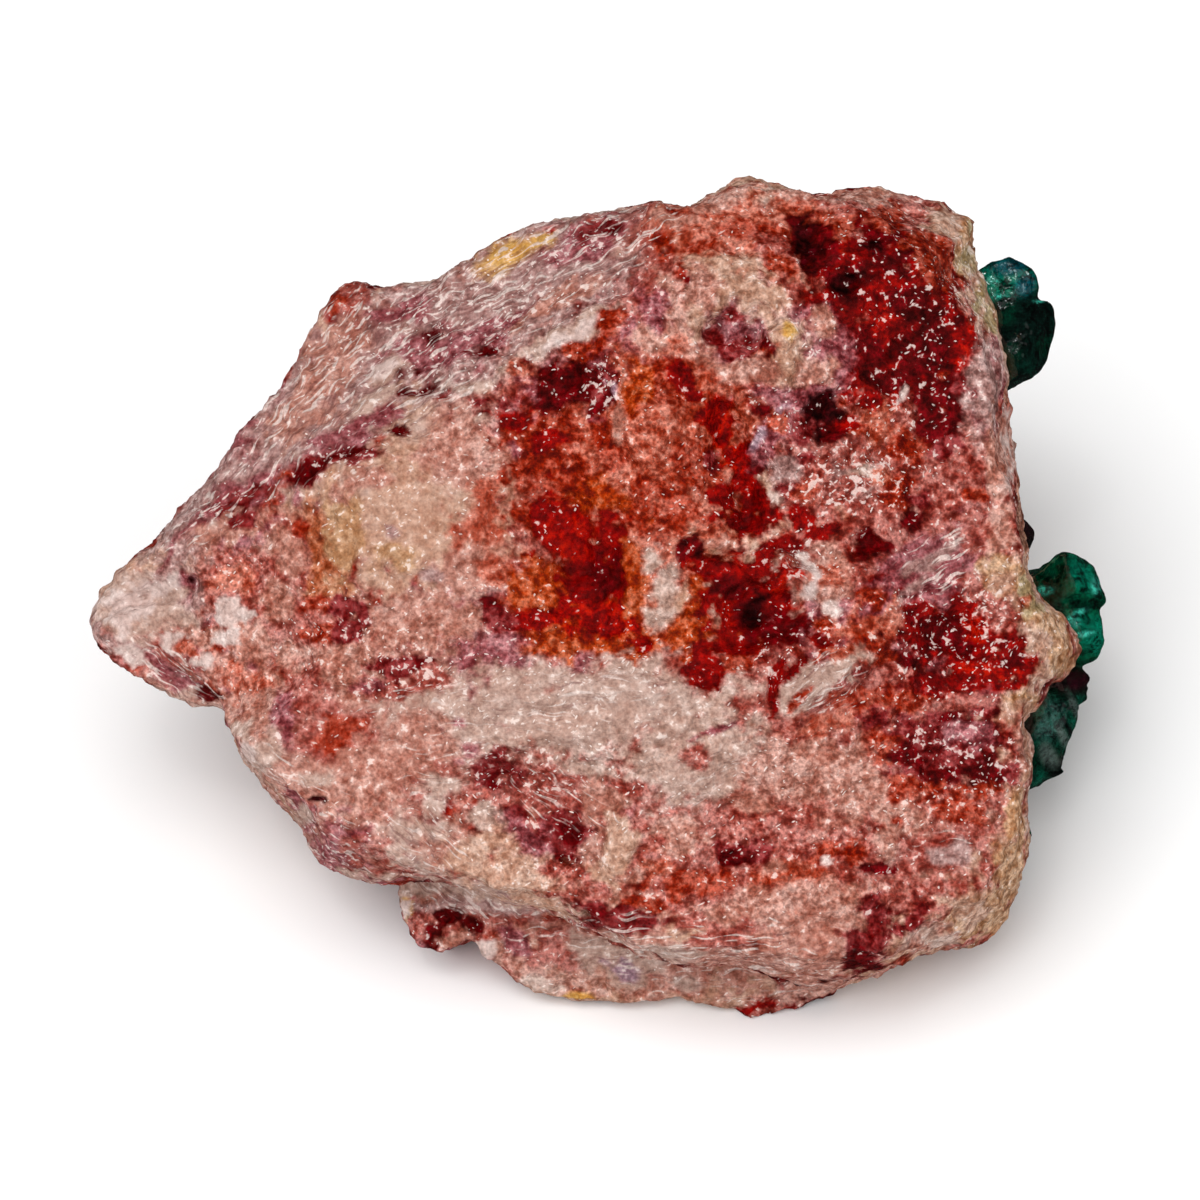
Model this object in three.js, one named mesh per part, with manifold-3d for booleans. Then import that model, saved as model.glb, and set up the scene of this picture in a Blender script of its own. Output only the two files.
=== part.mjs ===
// A hand specimen of dioptase: a broken piece of iron-stained quartz rock lying on its trimmed
// underside, with groups of emerald-green dioptase crystals on the crust of one side.
//
// Millimetres, +Z up. The rock is laid out on the plane of its broad weathered face, and only
// then leaned back to the way it lies. On that plane u runs to the right, v runs up the face
// and w points straight out of it.
import * as THREE from "three";
import { ConvexGeometry } from "three/addons/geometries/ConvexGeometry.js";
import { ImprovedNoise } from "three/addons/math/ImprovedNoise.js";
import { mergeVertices } from "three/addons/utils/BufferGeometryUtils.js";
import Module from "manifold-3d";

const wasm = await Module();
wasm.setup();

// Driving dimensions
const FACE_ELEVATION = 50; // degrees from the horizontal to the broad face's outward direction
const TRIM_DEPTH = 13.8; // from the middle of the specimen down to the trimmed underside
const BACK_DEPTH = 19; // how far the rock reaches behind the plane of its outline
const STEP = 1.5; // spacing of the facets that make up the rock's skin
const CLEARANCE = 0.3; // between a crystal group and the rock that carries it
const RIDGE_ROUNDING = 0.5; // how far a ridge between two facets is worn down
const WALL_LEAN = 0.32; // how much the rock narrows behind its outline, per millimetre of depth
const JAG_DEPTH = 9; // how far from the outline's plane its jags die out
const WALL_WEAR = 0.024; // how much its rim rounds over in front, per square millimetre

// Dioptase is trigonal: six prism sides, and three rhombic faces at each end that fall from
// the tip at this angle to the crystal's cross-section.
const RHOMB_FALL = Math.tan(THREE.MathUtils.degToRad(50.95));

const ROCK = new THREE.MeshStandardMaterial({ color: 0xa0564a, roughness: 0.75, metalness: 0 });
const DIOPTASE = new THREE.MeshStandardMaterial({ color: 0x0a5a45, roughness: 0.12, metalness: 0 });

// The rock's outline as seen square to its broad face, from the blunt tip on the left round by
// the lower edge, the crust on the right and the upper edge.
const MAIN_OUTLINE = [
  // blunt tip and the lip under it
  [-26.0, -0.9], [-25.7, -1.7], [-24.6, -2.4], [-22.5, -2.5], [-21.2, -3.5], [-19.8, -4.7],
  // lower left edge
  [-18.8, -5.7], [-18.5, -7.2], [-18.2, -8.2], [-16.9, -9.9], [-15.3, -11.5], [-14.4, -13.2],
  // lip over the lower ledge
  [-13.0, -14.3], [-11.2, -14.5], [-9.1, -14.1], [-6.4, -14.4], [-3.5, -15.7], [0.7, -17.2],
  [4.6, -18.2], [7.1, -18.4],
  // lower right corner
  [9.7, -19.6], [12.1, -20.0], [14.3, -19.4], [16.1, -18.0], [18.9, -17.8], [19.7, -17.5],
  [20.9, -16.2], [21.3, -14.6], [21.8, -12.1], [21.6, -10.1],
  // ragged crust on the right, with the lobe between two crystal groups
  [22.2, -9.2], [22.0, -7.2], [21.3, -6.0], [22.7, -4.9], [22.8, -4.3], [23.8, -4.0],
  [24.3, -2.6], [23.9, -1.1], [22.5, 0.0], [21.3, 2.0], [21.8, 2.6], [21.3, 4.2],
  [21.0, 6.8], [20.6, 9.7], [20.6, 11.4], [20.1, 14.8], [19.2, 16.8], [18.9, 18.0],
  // upper edge
  [19.1, 19.3], [18.0, 20.0], [16.3, 20.4], [13.8, 21.1], [11.7, 20.8], [10.3, 20.8],
  [7.5, 21.4], [6.5, 20.9], [4.3, 19.5], [3.1, 20.2], [-0.1, 19.8], [-3.2, 19.1],
  [-5.3, 18.1], [-7.0, 16.8], [-8.8, 16.1], [-11.5, 16.1], [-12.2, 16.4], [-13.7, 15.9],
  // upper left edge, back to the tip
  [-14.2, 14.7], [-15.4, 12.0], [-16.3, 10.4], [-17.1, 9.2], [-19.8, 6.4], [-21.5, 4.5],
  [-23.3, 2.5], [-24.3, 1.8], [-25.5, 0.4],
];

// The ledge that stands out below the main face.
const LEDGE_OUTLINE = [
  [-10.3, -14.8], [-10.1, -16.1], [-9.1, -17.8], [-8.4, -18.0], [-6.6, -17.3], [-5.9, -18.1],
  [-4.2, -19.5], [-3.4, -20.0], [-1.2, -20.5], [2.5, -20.5], [4.1, -20.3], [6.0, -20.7],
  [7.8, -21.4], [10.3, -21.0], [12.2, -20.2], [13.2, -18.4], [12.2, -13.3], [2.0, -11.2],
  [-9.2, -10.2],
];

// The thin layer that shows under the tip's lip.
const TIP_LEDGE_OUTLINE = [
  [-25.9, -1.3], [-25.6, -2.3], [-23.9, -3.7], [-22.3, -4.7], [-20.8, -5.5], [-19.6, -5.4],
  [-18.4, -5.8], [-17.2, -5.1], [-15.3, -2.0], [-19.4, 0.0], [-24.0, -0.2],
];

// A broken facet is a plane through the point `at`, [u, v, w], that rises by `slope` along u and v.
// The lowest facet at a place is the rock's surface there, so the ridges run where two cross.
const MAIN_FACETS = [
  { name: "broad face", at: [2, 2, 9.4], slope: [0.02, -0.02] },
  { name: "streaked upper left flank", at: [-5.1, 10.7, 9.0], slope: [0.48, -0.78] },
  { name: "lower flank", at: [0, -8.0, 9.2], slope: [0.02, 0.62] },
  { name: "lower left flank", at: [-10, -7, 8.6], slope: [0.34, 0.36] },
  { name: "tip", at: [-14, 2, 8.0], slope: [0.52, 0.06] },
  { name: "right shoulder", at: [13, 2, 8.9], slope: [-0.32, 0.0] },
  { name: "upper bevel", at: [9, 18.0, 7.6], slope: [0, -0.8] },
  { name: "lower right corner", at: [15, -11, 7.3], slope: [-0.32, 0.34] },
];

// The upper right part stands proud of the streaked flank along one steep edge.
const NORTH_BLOCK = { edge: [0.0, 14.0], along: [0.637, 0.77], height: 8.2, fall: 1.5 };

// Swellings and hollows on the broad face: place, half sizes, turn in degrees, height.
const RELIEF = [
  { name: "red trough", at: [-1.6, 2.2], size: [1.7, 4.6], turn: 28, rise: -1.3 },
  { name: "red slot", at: [6.9, 7.0], size: [1.3, 3.4], turn: 20, rise: -1.1 },
  { name: "dark pool", at: [8.3, 0.2], size: [3.2, 2.0], turn: -20, rise: -1.6 },
  { name: "right red pool", at: [17.6, -2.0], size: [2.8, 1.8], turn: -15, rise: -0.9 },
  { name: "upper right hollow", at: [15.0, 12.6], size: [2.8, 5.2], turn: 10, rise: -0.8 },
  { name: "round pit", at: [6.9, 13.6], size: [1.2, 1.0], turn: 0, rise: -1.3 },
  { name: "collar of the pit", at: [6.9, 13.4], size: [3.6, 3.0], turn: 0, rise: 0.5 },
  { name: "block between slots", at: [3.2, 7.6], size: [1.9, 3.6], turn: 25, rise: 0.9 },
  { name: "pale swelling", at: [-10.2, 4.3], size: [4.2, 3.6], turn: -10, rise: 0.9 },
  { name: "pale ridge", at: [1.0, -4.9], size: [7.5, 1.5], turn: -4, rise: 0.8 },
  { name: "hollow left of the ridge", at: [-13.3, -5.4], size: [2.6, 1.8], turn: 0, rise: -0.6 },
  { name: "lower hollow", at: [-3.6, -10.6], size: [2.6, 1.9], turn: -20, rise: -0.8 },
  { name: "lower rib", at: [1.4, -10.9], size: [0.9, 2.4], turn: 0, rise: 0.7 },
  { name: "lower lump", at: [12.0, -14.2], size: [2.2, 1.7], turn: 0, rise: 0.6 },
  { name: "cleft beside the lump", at: [15.2, -14.8], size: [1.0, 2.4], turn: 5, rise: -0.7 },
  { name: "folded flakes", at: [11.4, -3.6], size: [3.0, 1.0], turn: 35, rise: 0.6 },
  { name: "crust rim", at: [20.8, -0.8], size: [1.4, 5.0], turn: -12, rise: 0.7 },
  { name: "scoop in the tip", at: [-23.0, -0.9], size: [1.5, 1.2], turn: 0, rise: -0.8 },
  { name: "knob on the upper left", at: [-13.0, 15.2], size: [1.2, 0.9], turn: 0, rise: 1.2 },
];

const LEDGE_FACETS = [
  { name: "ledge", at: [0, -18, 1.6], slope: [-0.02, 0.42] },
  { name: "ledge's left end", at: [-8.6, -16.6, 1.2], slope: [0.5, 0.1] },
];

const TIP_LEDGE_FACETS = [{ name: "tip ledge", at: [-21.5, -4.2, 2.6], slope: [0.12, 0.45] }];

// The hidden side, as depths behind the outline's plane.
const BACK_FACETS = [
  { name: "deepest", at: [0, 0, BACK_DEPTH], slope: [0, 0] },
  { name: "upper back", at: [0, 20.3, 3.0], slope: [0.0, -2.1] },
  { name: "under the tip", at: [-20, 0, 5.5], slope: [0.78, -0.1] },
  { name: "lower right back", at: [21, -12, 10.5], slope: [-0.5, 0.1] },
];

// The dioptase groups. Each crystal has its middle, the direction of its long axis, its turn
// about that axis in degrees, its radius to a prism edge and its length from tip to tip.
const CRYSTAL_GROUPS = [
  {
    name: "upper_crystals",
    crystals: [
      { at: [20.75, 15.4, -2.6], axis: [0.1, 0.9, 0.42], spin: 20, radius: 1.95, length: 4.8 },
      { at: [21.1, 13.5, -3.4], axis: [0.4, 0.91, -0.1], spin: 34, radius: 2.1, length: 5.9 },
      { at: [19.8, 12.8, -6.4], axis: [0.75, 0.0, -0.65], spin: 35, radius: 1.9, length: 5.0 },
      { at: [19.4, 15.0, -6.4], axis: [0.6, 0.6, -0.55], spin: 12, radius: 1.5, length: 4.6 },
    ],
  },
  {
    name: "rim_crystal",
    crystals: [
      { at: [20.9, 3.1, -3.6], axis: [0.3, 0.9, -0.3], spin: 50, radius: 1.3, length: 3.6 },
    ],
  },
  {
    name: "lower_crystals",
    crystals: [
      { at: [24.0, 0.55, -4.4], axis: [0.15, 0.03, 0.98], spin: 40, radius: 1.98, length: 5.4 },
      { at: [24.4, -1.7, -4.2], axis: [0.2, -0.1, 0.97], spin: 52, radius: 1.72, length: 4.8 },
      { at: [22.6, -0.4, -7.4], axis: [0.85, 0.25, -0.45], spin: 25, radius: 2.2, length: 5.8 },
      { at: [22.4, -3.2, -6.6], axis: [0.8, -0.45, -0.3], spin: 55, radius: 1.5, length: 4.6 },
      { at: [23.3, -4.55, -4.6], axis: [0.9, 0.3, 0.3], spin: 30, radius: 1.5, length: 4.4 },
      { at: [22.7, -6.4, -3.3], axis: [-0.4, -0.86, 0.3], spin: 20, radius: 1.7, length: 5.7 },
      { at: [21.9, -8.2, -5.2], axis: [0.35, -0.6, -0.6], spin: 0, radius: 1.4, length: 4.2 },
    ],
  },
  {
    name: "back_crystals",
    crystals: [
      { at: [19.4, 6.3, -9.6], axis: [0.3, 0.3, -0.85], spin: 20, radius: 1.8, length: 5.2 },
      { at: [19.2, 8.6, -9.0], axis: [0.3, 0.8, -0.4], spin: 50, radius: 1.4, length: 4.0 },
      { at: [19.3, 4.4, -11.6], axis: [0.55, -0.5, -0.6], spin: 5, radius: 1.6, length: 4.6 },
      { at: [18.7, 7.2, -12.4], axis: [0.7, 0.3, -0.6], spin: 40, radius: 1.3, length: 4.4 },
    ],
  },
  {
    name: "low_back_crystals",
    crystals: [
      { at: [20.9, -3.4, -10.6], axis: [0.85, -0.2, -0.4], spin: 28, radius: 1.9, length: 5.2 },
      { at: [20.2, -0.9, -12.0], axis: [0.6, 0.5, -0.6], spin: 10, radius: 1.5, length: 4.6 },
    ],
  },
  {
    name: "upper_back_crystals",
    crystals: [
      { at: [17.4, 14.0, -11.2], axis: [0.75, 0.4, -0.5], spin: 33, radius: 1.8, length: 5.0 },
      { at: [17.8, 11.6, -12.2], axis: [0.8, -0.3, -0.5], spin: 12, radius: 1.5, length: 4.6 },
    ],
  },
  {
    name: "low_side_crystals",
    crystals: [
      { at: [20.7, -11.4, -4.9], axis: [0.3, -0.5, -0.8], spin: 15, radius: 1.3, length: 4.2 },
      { at: [20.6, -13.1, -4.0], axis: [0.3, 0.5, -0.8], spin: 0, radius: 1.0, length: 3.4 },
    ],
  },
  {
    name: "foot_crystal",
    crystals: [
      { at: [20.7, -7.5, -8.8], axis: [0.8, -0.1, 0.3], spin: 10, radius: 1.4, length: 4.4 },
    ],
  },
];

const noise = new ImprovedNoise();
const rotation = THREE.MathUtils.degToRad(90 - FACE_ELEVATION);
const faceToPart = new THREE.Matrix4().makeRotationX(rotation);

// Broken stone at two scales: lumps about 7 mm across with smaller ones on them.
function roughness(x, y, z) {
  const lumps = noise.noise(x / 6.5 + 3.1, y / 6.5 + 1.7, z / 6.5 + 8.2);
  const chips = noise.noise(x / 2.7 + 9.4, y / 2.7 + 5.3, z / 2.7 + 2.6);
  return 0.75 * lumps + 0.45 * chips;
}

function planeHeight({ at, slope }, u, v) {
  return at[2] + slope[0] * (u - at[0]) + slope[1] * (v - at[1]);
}

// The lowest of several planes, with the ridges between them slightly rounded.
function lowestPlane(facets, u, v) {
  const sum = facets.reduce((s, f) => s + Math.exp(-planeHeight(f, u, v) / RIDGE_ROUNDING), 0);
  return -RIDGE_ROUNDING * Math.log(sum);
}

function northBlockHeight(u, v) {
  const { edge, along, height, fall } = NORTH_BLOCK;
  const beyond = (v - edge[1]) * along[0] - (u - edge[0]) * along[1];
  return height - fall * Math.max(0, beyond);
}

function reliefHeight(u, v) {
  return RELIEF.reduce((height, { at, size, turn, rise }) => {
    const place = new THREE.Vector2(u - at[0], v - at[1]);
    place.rotateAround(new THREE.Vector2(), -THREE.MathUtils.degToRad(turn));
    const reach = (place.x / size[0]) ** 2 + (place.y / size[1]) ** 2;
    return height + rise * Math.exp(-reach);
  }, 0);
}

function mainFront(u, v) {
  const upperEdge = planeHeight(MAIN_FACETS[6], u, v);
  const rightEdge = planeHeight(MAIN_FACETS[5], u, v);
  const block = Math.min(northBlockHeight(u, v), upperEdge, rightEdge);
  return Math.max(lowestPlane(MAIN_FACETS, u, v), block) + reliefHeight(u, v);
}

function backDepth(u, v) {
  return lowestPlane(BACK_FACETS, u, v);
}

// A closed geometry as a solid that can be joined and cut.
function solidFrom(geometry) {
  const bare = new THREE.BufferGeometry();
  bare.setAttribute("position", geometry.getAttribute("position"));
  if (geometry.index) bare.setIndex(geometry.index);
  const merged = mergeVertices(bare, 1e-4);
  return new wasm.Manifold(
    new wasm.Mesh({
      numProp: 3,
      vertProperties: new Float32Array(merged.attributes.position.array),
      triVerts: new Uint32Array(merged.index.array),
    }),
  );
}

function geometryFrom(solid) {
  const { numProp, numVert, vertProperties, triVerts } = solid.getMesh();
  const positions = new Float32Array(numVert * 3);
  for (let i = 0; i < numVert; i++) {
    positions.set(vertProperties.subarray(i * numProp, i * numProp + 3), i * 3);
  }
  const geometry = new THREE.BufferGeometry();
  geometry.setAttribute("position", new THREE.BufferAttribute(positions, 3));
  geometry.setIndex(new THREE.BufferAttribute(new Uint32Array(triVerts), 1));
  const flat = geometry.toNonIndexed();
  flat.computeVertexNormals();
  return flat;
}

function moveVertices(geometry, move) {
  const positions = geometry.getAttribute("position");
  const point = new THREE.Vector3();
  for (let i = 0; i < positions.count; i++) {
    point.fromBufferAttribute(positions, i);
    move(point);
    positions.setXYZ(i, point.x, point.y, point.z);
  }
  return geometry;
}

// The outline with its long edges divided, so that the wall has facets as small as the face.
function dividedOutline(outline) {
  return outline.flatMap((corner, i) => {
    const start = new THREE.Vector2(...corner);
    const end = new THREE.Vector2(...outline[(i + 1) % outline.length]);
    const pieces = Math.max(1, Math.round(start.distanceTo(end) / STEP));
    return Array.from({ length: pieces }, (_, k) => start.clone().lerp(end, k / pieces));
  });
}

// How far the outline lies from its centre in one direction, averaged over a wide arc.
function smoothReach(points, centre, direction) {
  let [sum, weights] = [0, 0];
  for (const point of points) {
    const out = point.clone().sub(new THREE.Vector2(...centre));
    const weight = Math.exp(14 * (out.clone().normalize().dot(direction) - 1));
    sum += weight * out.length();
    weights += weight;
  }
  return sum / weights;
}

// The broken wall round the outline. It is widest at the outline's plane, and the jags of the
// outline die out on both sides of it.
function rockWall(outline, centre, grow) {
  const reach = BACK_DEPTH + 4;
  const height = reach + 14;
  const points = dividedOutline(outline);
  const geometry = new THREE.ExtrudeGeometry(new THREE.Shape(points), {
    depth: height,
    steps: Math.round(height / STEP),
    bevelEnabled: false,
  });
  geometry.translate(0, 0, -reach);
  return moveVertices(geometry, (p) => {
    const out = new THREE.Vector2(p.x - centre[0], p.y - centre[1]);
    const distance = out.length();
    const smooth = smoothReach(points, centre, out.clone().normalize());
    const inset = p.z < 0 ? -WALL_LEAN * p.z : WALL_WEAR * p.z ** 2;
    const fromOutline = Math.max(0, Math.abs(p.z) - 1);
    const jags = Math.max(0.25, 1 - fromOutline / JAG_DEPTH);
    const fade = Math.min(1, Math.abs(p.z) / 4);
    const rough = fade * roughness(p.x, p.y, p.z);
    const moved = smooth + jags * (distance - smooth) - inset + rough + grow;
    out.setLength(Math.max(moved, 0.2 * distance));
    p.x = centre[0] + out.x;
    p.y = centre[1] + out.y;
  });
}

// The slab between the broken front and the hidden back, wider than the outline all round.
function rockSlab(front, back, grow) {
  const width = 60;
  const height = 51;
  const cells = [Math.round(width / STEP), Math.round(height / STEP)];
  const geometry = new THREE.BoxGeometry(width, height, 2, ...cells, 1);
  return moveVertices(geometry, (p) => {
    const [u, v] = [p.x, p.y];
    const side = Math.sign(p.z);
    const rough = roughness(u, v, 20 * side);
    const edge = Math.abs(u) > width / 2 - 0.1 || Math.abs(v) > height / 2 - 0.1;
    if (!edge) {
      p.x += 0.35 * noise.noise(u * 0.9, v * 0.9, 4.5);
      p.y += 0.35 * noise.noise(u * 0.9, v * 0.9, 7.5);
    }
    p.z = side > 0 ? front(p.x, p.y) + 0.6 * rough + grow : -back(p.x, p.y) - rough - grow;
  });
}

function layer({ outline, centre, front, back }, grow) {
  return solidFrom(rockWall(outline, centre, grow)).intersect(
    solidFrom(rockSlab(front, back, grow)),
  );
}

const LAYERS = [
  { outline: MAIN_OUTLINE, centre: [0, 0], front: mainFront, back: backDepth },
  {
    outline: LEDGE_OUTLINE,
    centre: [2, -15],
    front: (u, v) => lowestPlane(LEDGE_FACETS, u, v),
    back: (u, v) => backDepth(u, v) - 1.5,
  },
  {
    outline: TIP_LEDGE_OUTLINE,
    centre: [-20, -3],
    front: (u, v) => lowestPlane(TIP_LEDGE_FACETS, u, v),
    back: (u, v) => backDepth(u, v) - 0.8,
  },
];

// Everything below the trimmed underside, in the plane of the broad face.
function belowTrim() {
  const size = 140;
  const box = new THREE.BoxGeometry(size, size, size);
  box.translate(0, 0, -TRIM_DEPTH - size / 2);
  return solidFrom(box.applyMatrix4(faceToPart.clone().invert()));
}

function rock(grow) {
  const joined = LAYERS.map((l) => layer(l, grow)).reduce((all, one) => all.add(one));
  const pieces = joined.decompose();
  return pieces.reduce((a, b) => (a.volume() > b.volume() ? a : b));
}

// One crystal: a six-sided prism with three rhombic faces at each end. The two ends face each
// other through the middle, so the far corners of one lie under the near corners of the other.
function crystalSolid({ at, axis, spin, radius, length }) {
  const half = length / 2;
  const corners = [new THREE.Vector3(0, 0, half), new THREE.Vector3(0, 0, -half)];
  for (let k = 0; k < 6; k++) {
    const angle = THREE.MathUtils.degToRad(60 * k + spin);
    const [x, y] = [radius * Math.cos(angle), radius * Math.sin(angle)];
    const [low, high] = [radius * RHOMB_FALL, (radius * RHOMB_FALL) / 2];
    corners.push(new THREE.Vector3(x, y, half - (k % 2 ? high : low)));
    corners.push(new THREE.Vector3(x, y, -half + (k % 2 ? low : high)));
  }
  const direction = new THREE.Vector3(...axis).normalize();
  const turn = new THREE.Quaternion().setFromUnitVectors(new THREE.Vector3(0, 0, 1), direction);
  const placed = new THREE.Matrix4().compose(
    new THREE.Vector3(...at),
    turn,
    new THREE.Vector3(1, 1, 1),
  );
  return solidFrom(new ConvexGeometry(corners.map((c) => c.applyMatrix4(placed))));
}

function biggestPiece(solid) {
  return solid.decompose().reduce((a, b) => (a.volume() > b.volume() ? a : b));
}

function mesh(name, solid, material, seat) {
  const geometry = geometryFrom(solid);
  geometry.translate(-seat.x, -seat.y, -seat.z);
  const made = new THREE.Mesh(geometry, material);
  made.name = name;
  made.position.copy(seat);
  return made;
}

const specimen = new THREE.Group();
const onFace = new THREE.Group();
onFace.rotation.x = rotation;
specimen.add(onFace);

const trim = belowTrim();
onFace.add(mesh("matrix_rock", rock(0).subtract(trim), ROCK, new THREE.Vector3()));

const clearOfRock = rock(CLEARANCE).add(trim);
for (const { name, crystals } of CRYSTAL_GROUPS) {
  const grown = crystals.map(crystalSolid).reduce((all, one) => all.add(one));
  const seat = new THREE.Vector3(...crystals[0].at);
  onFace.add(mesh(name, biggestPiece(grown.subtract(clearOfRock)), DIOPTASE, seat));
}

// The origin is under the middle of the specimen, on the surface that it rests on.
const bounds = new THREE.Box3().setFromObject(specimen, true);
const middle = bounds.getCenter(new THREE.Vector3());
specimen.position.set(-middle.x, -middle.y, -bounds.min.z);

export default specimen;
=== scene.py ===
import math

import bmesh
import bpy
import numpy as np
from mathutils import Matrix, Vector, noise
from mathutils.bvhtree import BVHTree


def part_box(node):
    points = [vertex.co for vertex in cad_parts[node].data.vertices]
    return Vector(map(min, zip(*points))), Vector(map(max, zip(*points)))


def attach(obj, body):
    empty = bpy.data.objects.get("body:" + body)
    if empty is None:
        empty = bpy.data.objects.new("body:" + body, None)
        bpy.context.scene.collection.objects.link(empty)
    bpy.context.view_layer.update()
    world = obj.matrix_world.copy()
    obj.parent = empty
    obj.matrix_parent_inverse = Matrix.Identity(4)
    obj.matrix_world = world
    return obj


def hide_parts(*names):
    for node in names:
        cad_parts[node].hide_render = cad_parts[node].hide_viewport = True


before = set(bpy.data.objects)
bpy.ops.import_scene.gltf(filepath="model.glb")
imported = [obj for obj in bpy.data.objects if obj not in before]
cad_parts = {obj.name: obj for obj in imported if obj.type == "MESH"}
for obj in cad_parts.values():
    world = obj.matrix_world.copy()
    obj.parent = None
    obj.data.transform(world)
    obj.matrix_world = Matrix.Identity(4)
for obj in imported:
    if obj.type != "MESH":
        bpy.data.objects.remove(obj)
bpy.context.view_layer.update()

# The rock: one broken lump of sugary quartz, soaked with iron so that it runs from grey-lilac and
# cream through pink to deep red. Its broad face is weathered, its underside is a clean break that it
# lies on, and a thin tan crust covers the side where the dioptase grows.
MM = 0.001
SKIN_VOXEL = 0.21 * MM
WEAR_PASSES = 7
TURNED_AWAY = -0.12
HIDDEN_THINNING = 0.585
FACE_ELEVATION = math.radians(50)
FACE_RIGHT = Vector((1, 0, 0))
FACE_UP = Vector((0, math.sin(FACE_ELEVATION), math.cos(FACE_ELEVATION)))
FACE_OUT = Vector((0, -math.cos(FACE_ELEVATION), math.sin(FACE_ELEVATION)))
EYE_DISTANCE = 0.510
PIXEL = 0.051 * MM  # of the photograph, at the depth of the middle of the broad face

# The middle of the broad face, from the rock's left and front edges and up from the table.
rock_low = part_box("matrix_rock")[0]
face_middle = Vector((rock_low.x + 26.01 * MM, rock_low.y + 18.98 * MM, 13.8 * MM))


def merged_copy(node, name):
    shape = bmesh.new()
    shape.from_mesh(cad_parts[node].data)
    bmesh.ops.remove_doubles(shape, verts=shape.verts, dist=0.0001 * MM)
    mesh = bpy.data.meshes.new(name)
    shape.to_mesh(mesh)
    shape.free()
    piece = bpy.data.objects.new(name, mesh)
    bpy.context.scene.collection.objects.link(piece)
    return piece


def settle_modifiers(piece):
    graph = bpy.context.evaluated_depsgraph_get()
    made = bpy.data.meshes.new_from_object(piece.evaluated_get(graph))
    piece.modifiers.clear()
    piece.data = made


rock = merged_copy("matrix_rock", "rock")
skin = rock.modifiers.new("fine skin", "REMESH")
skin.mode = "VOXEL"
skin.voxel_size = SKIN_VOXEL
wear = rock.modifiers.new("worn facets", "SMOOTH")
wear.factor = 0.5
wear.iterations = WEAR_PASSES
settle_modifiers(rock)
out_of_view = rock.vertex_groups.new(name="out of view")
for vertex in rock.data.vertices:
    if vertex.normal.dot(FACE_OUT) < TURNED_AWAY:
        out_of_view.add([vertex.index], 1.0, "REPLACE")
thinning = rock.modifiers.new("coarser out of view", "DECIMATE")
thinning.ratio = HIDDEN_THINNING
thinning.vertex_group = "out of view"
settle_modifiers(rock)
rock.vertex_groups.clear()

rock_count = len(rock.data.vertices)
place = np.empty(rock_count * 3)
rock.data.vertices.foreach_get("co", place)
place = place.reshape(-1, 3)
outward = np.empty(rock_count * 3)
rock.data.vertices.foreach_get("normal", outward)
outward = outward.reshape(-1, 3)

# Where each point of the rock lies on its broad face, in millimetres, and in the photograph, in pixels.
from_middle = (place - np.array(face_middle)) / MM
face_u = from_middle @ np.array(FACE_RIGHT)
face_v = from_middle @ np.array(FACE_UP)
face_w = from_middle @ np.array(FACE_OUT)
nearness = EYE_DISTANCE / (EYE_DISTANCE - face_w * MM)
photo_x = 600 + face_u * MM / PIXEL * nearness
photo_y = 600 - face_v * MM / PIXEL * nearness


def ramp(value, low, high):
    t = np.clip((value - low) / (high - low), 0, 1)
    return t * t * (3 - 2 * t)


def clouds(points, size, octaves=3, shift=0.0):
    offset = Vector((shift, shift * 0.7, -shift))
    return np.array([noise.fractal(Vector(p) / size + offset, 0.9, 2.1, octaves) for p in points])


place_mm = place / MM
wander_x = 13 * clouds(place_mm, 1.8, 4, 51.0)
wander_y = 13 * clouds(place_mm, 1.8, 4, 61.0)
facing = outward @ np.array(FACE_OUT)
seen = ramp(facing, -0.1, 0.2) * ramp(face_w, -4.5, -1.5)


def stroke(x, y, across, along, turn):
    """How strongly one dab at a place in the photograph covers each point of the rock."""
    turn = math.radians(turn)
    sway = min(1, min(across, along) / 16)
    dx = photo_x + wander_x * sway - x
    dy = y - photo_y + wander_y * sway
    p = (dx * math.cos(turn) + dy * math.sin(turn)) / across
    q = (-dx * math.sin(turn) + dy * math.cos(turn)) / along
    return np.exp(-((p * p + q * q) ** 1.5)) * seen


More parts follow.
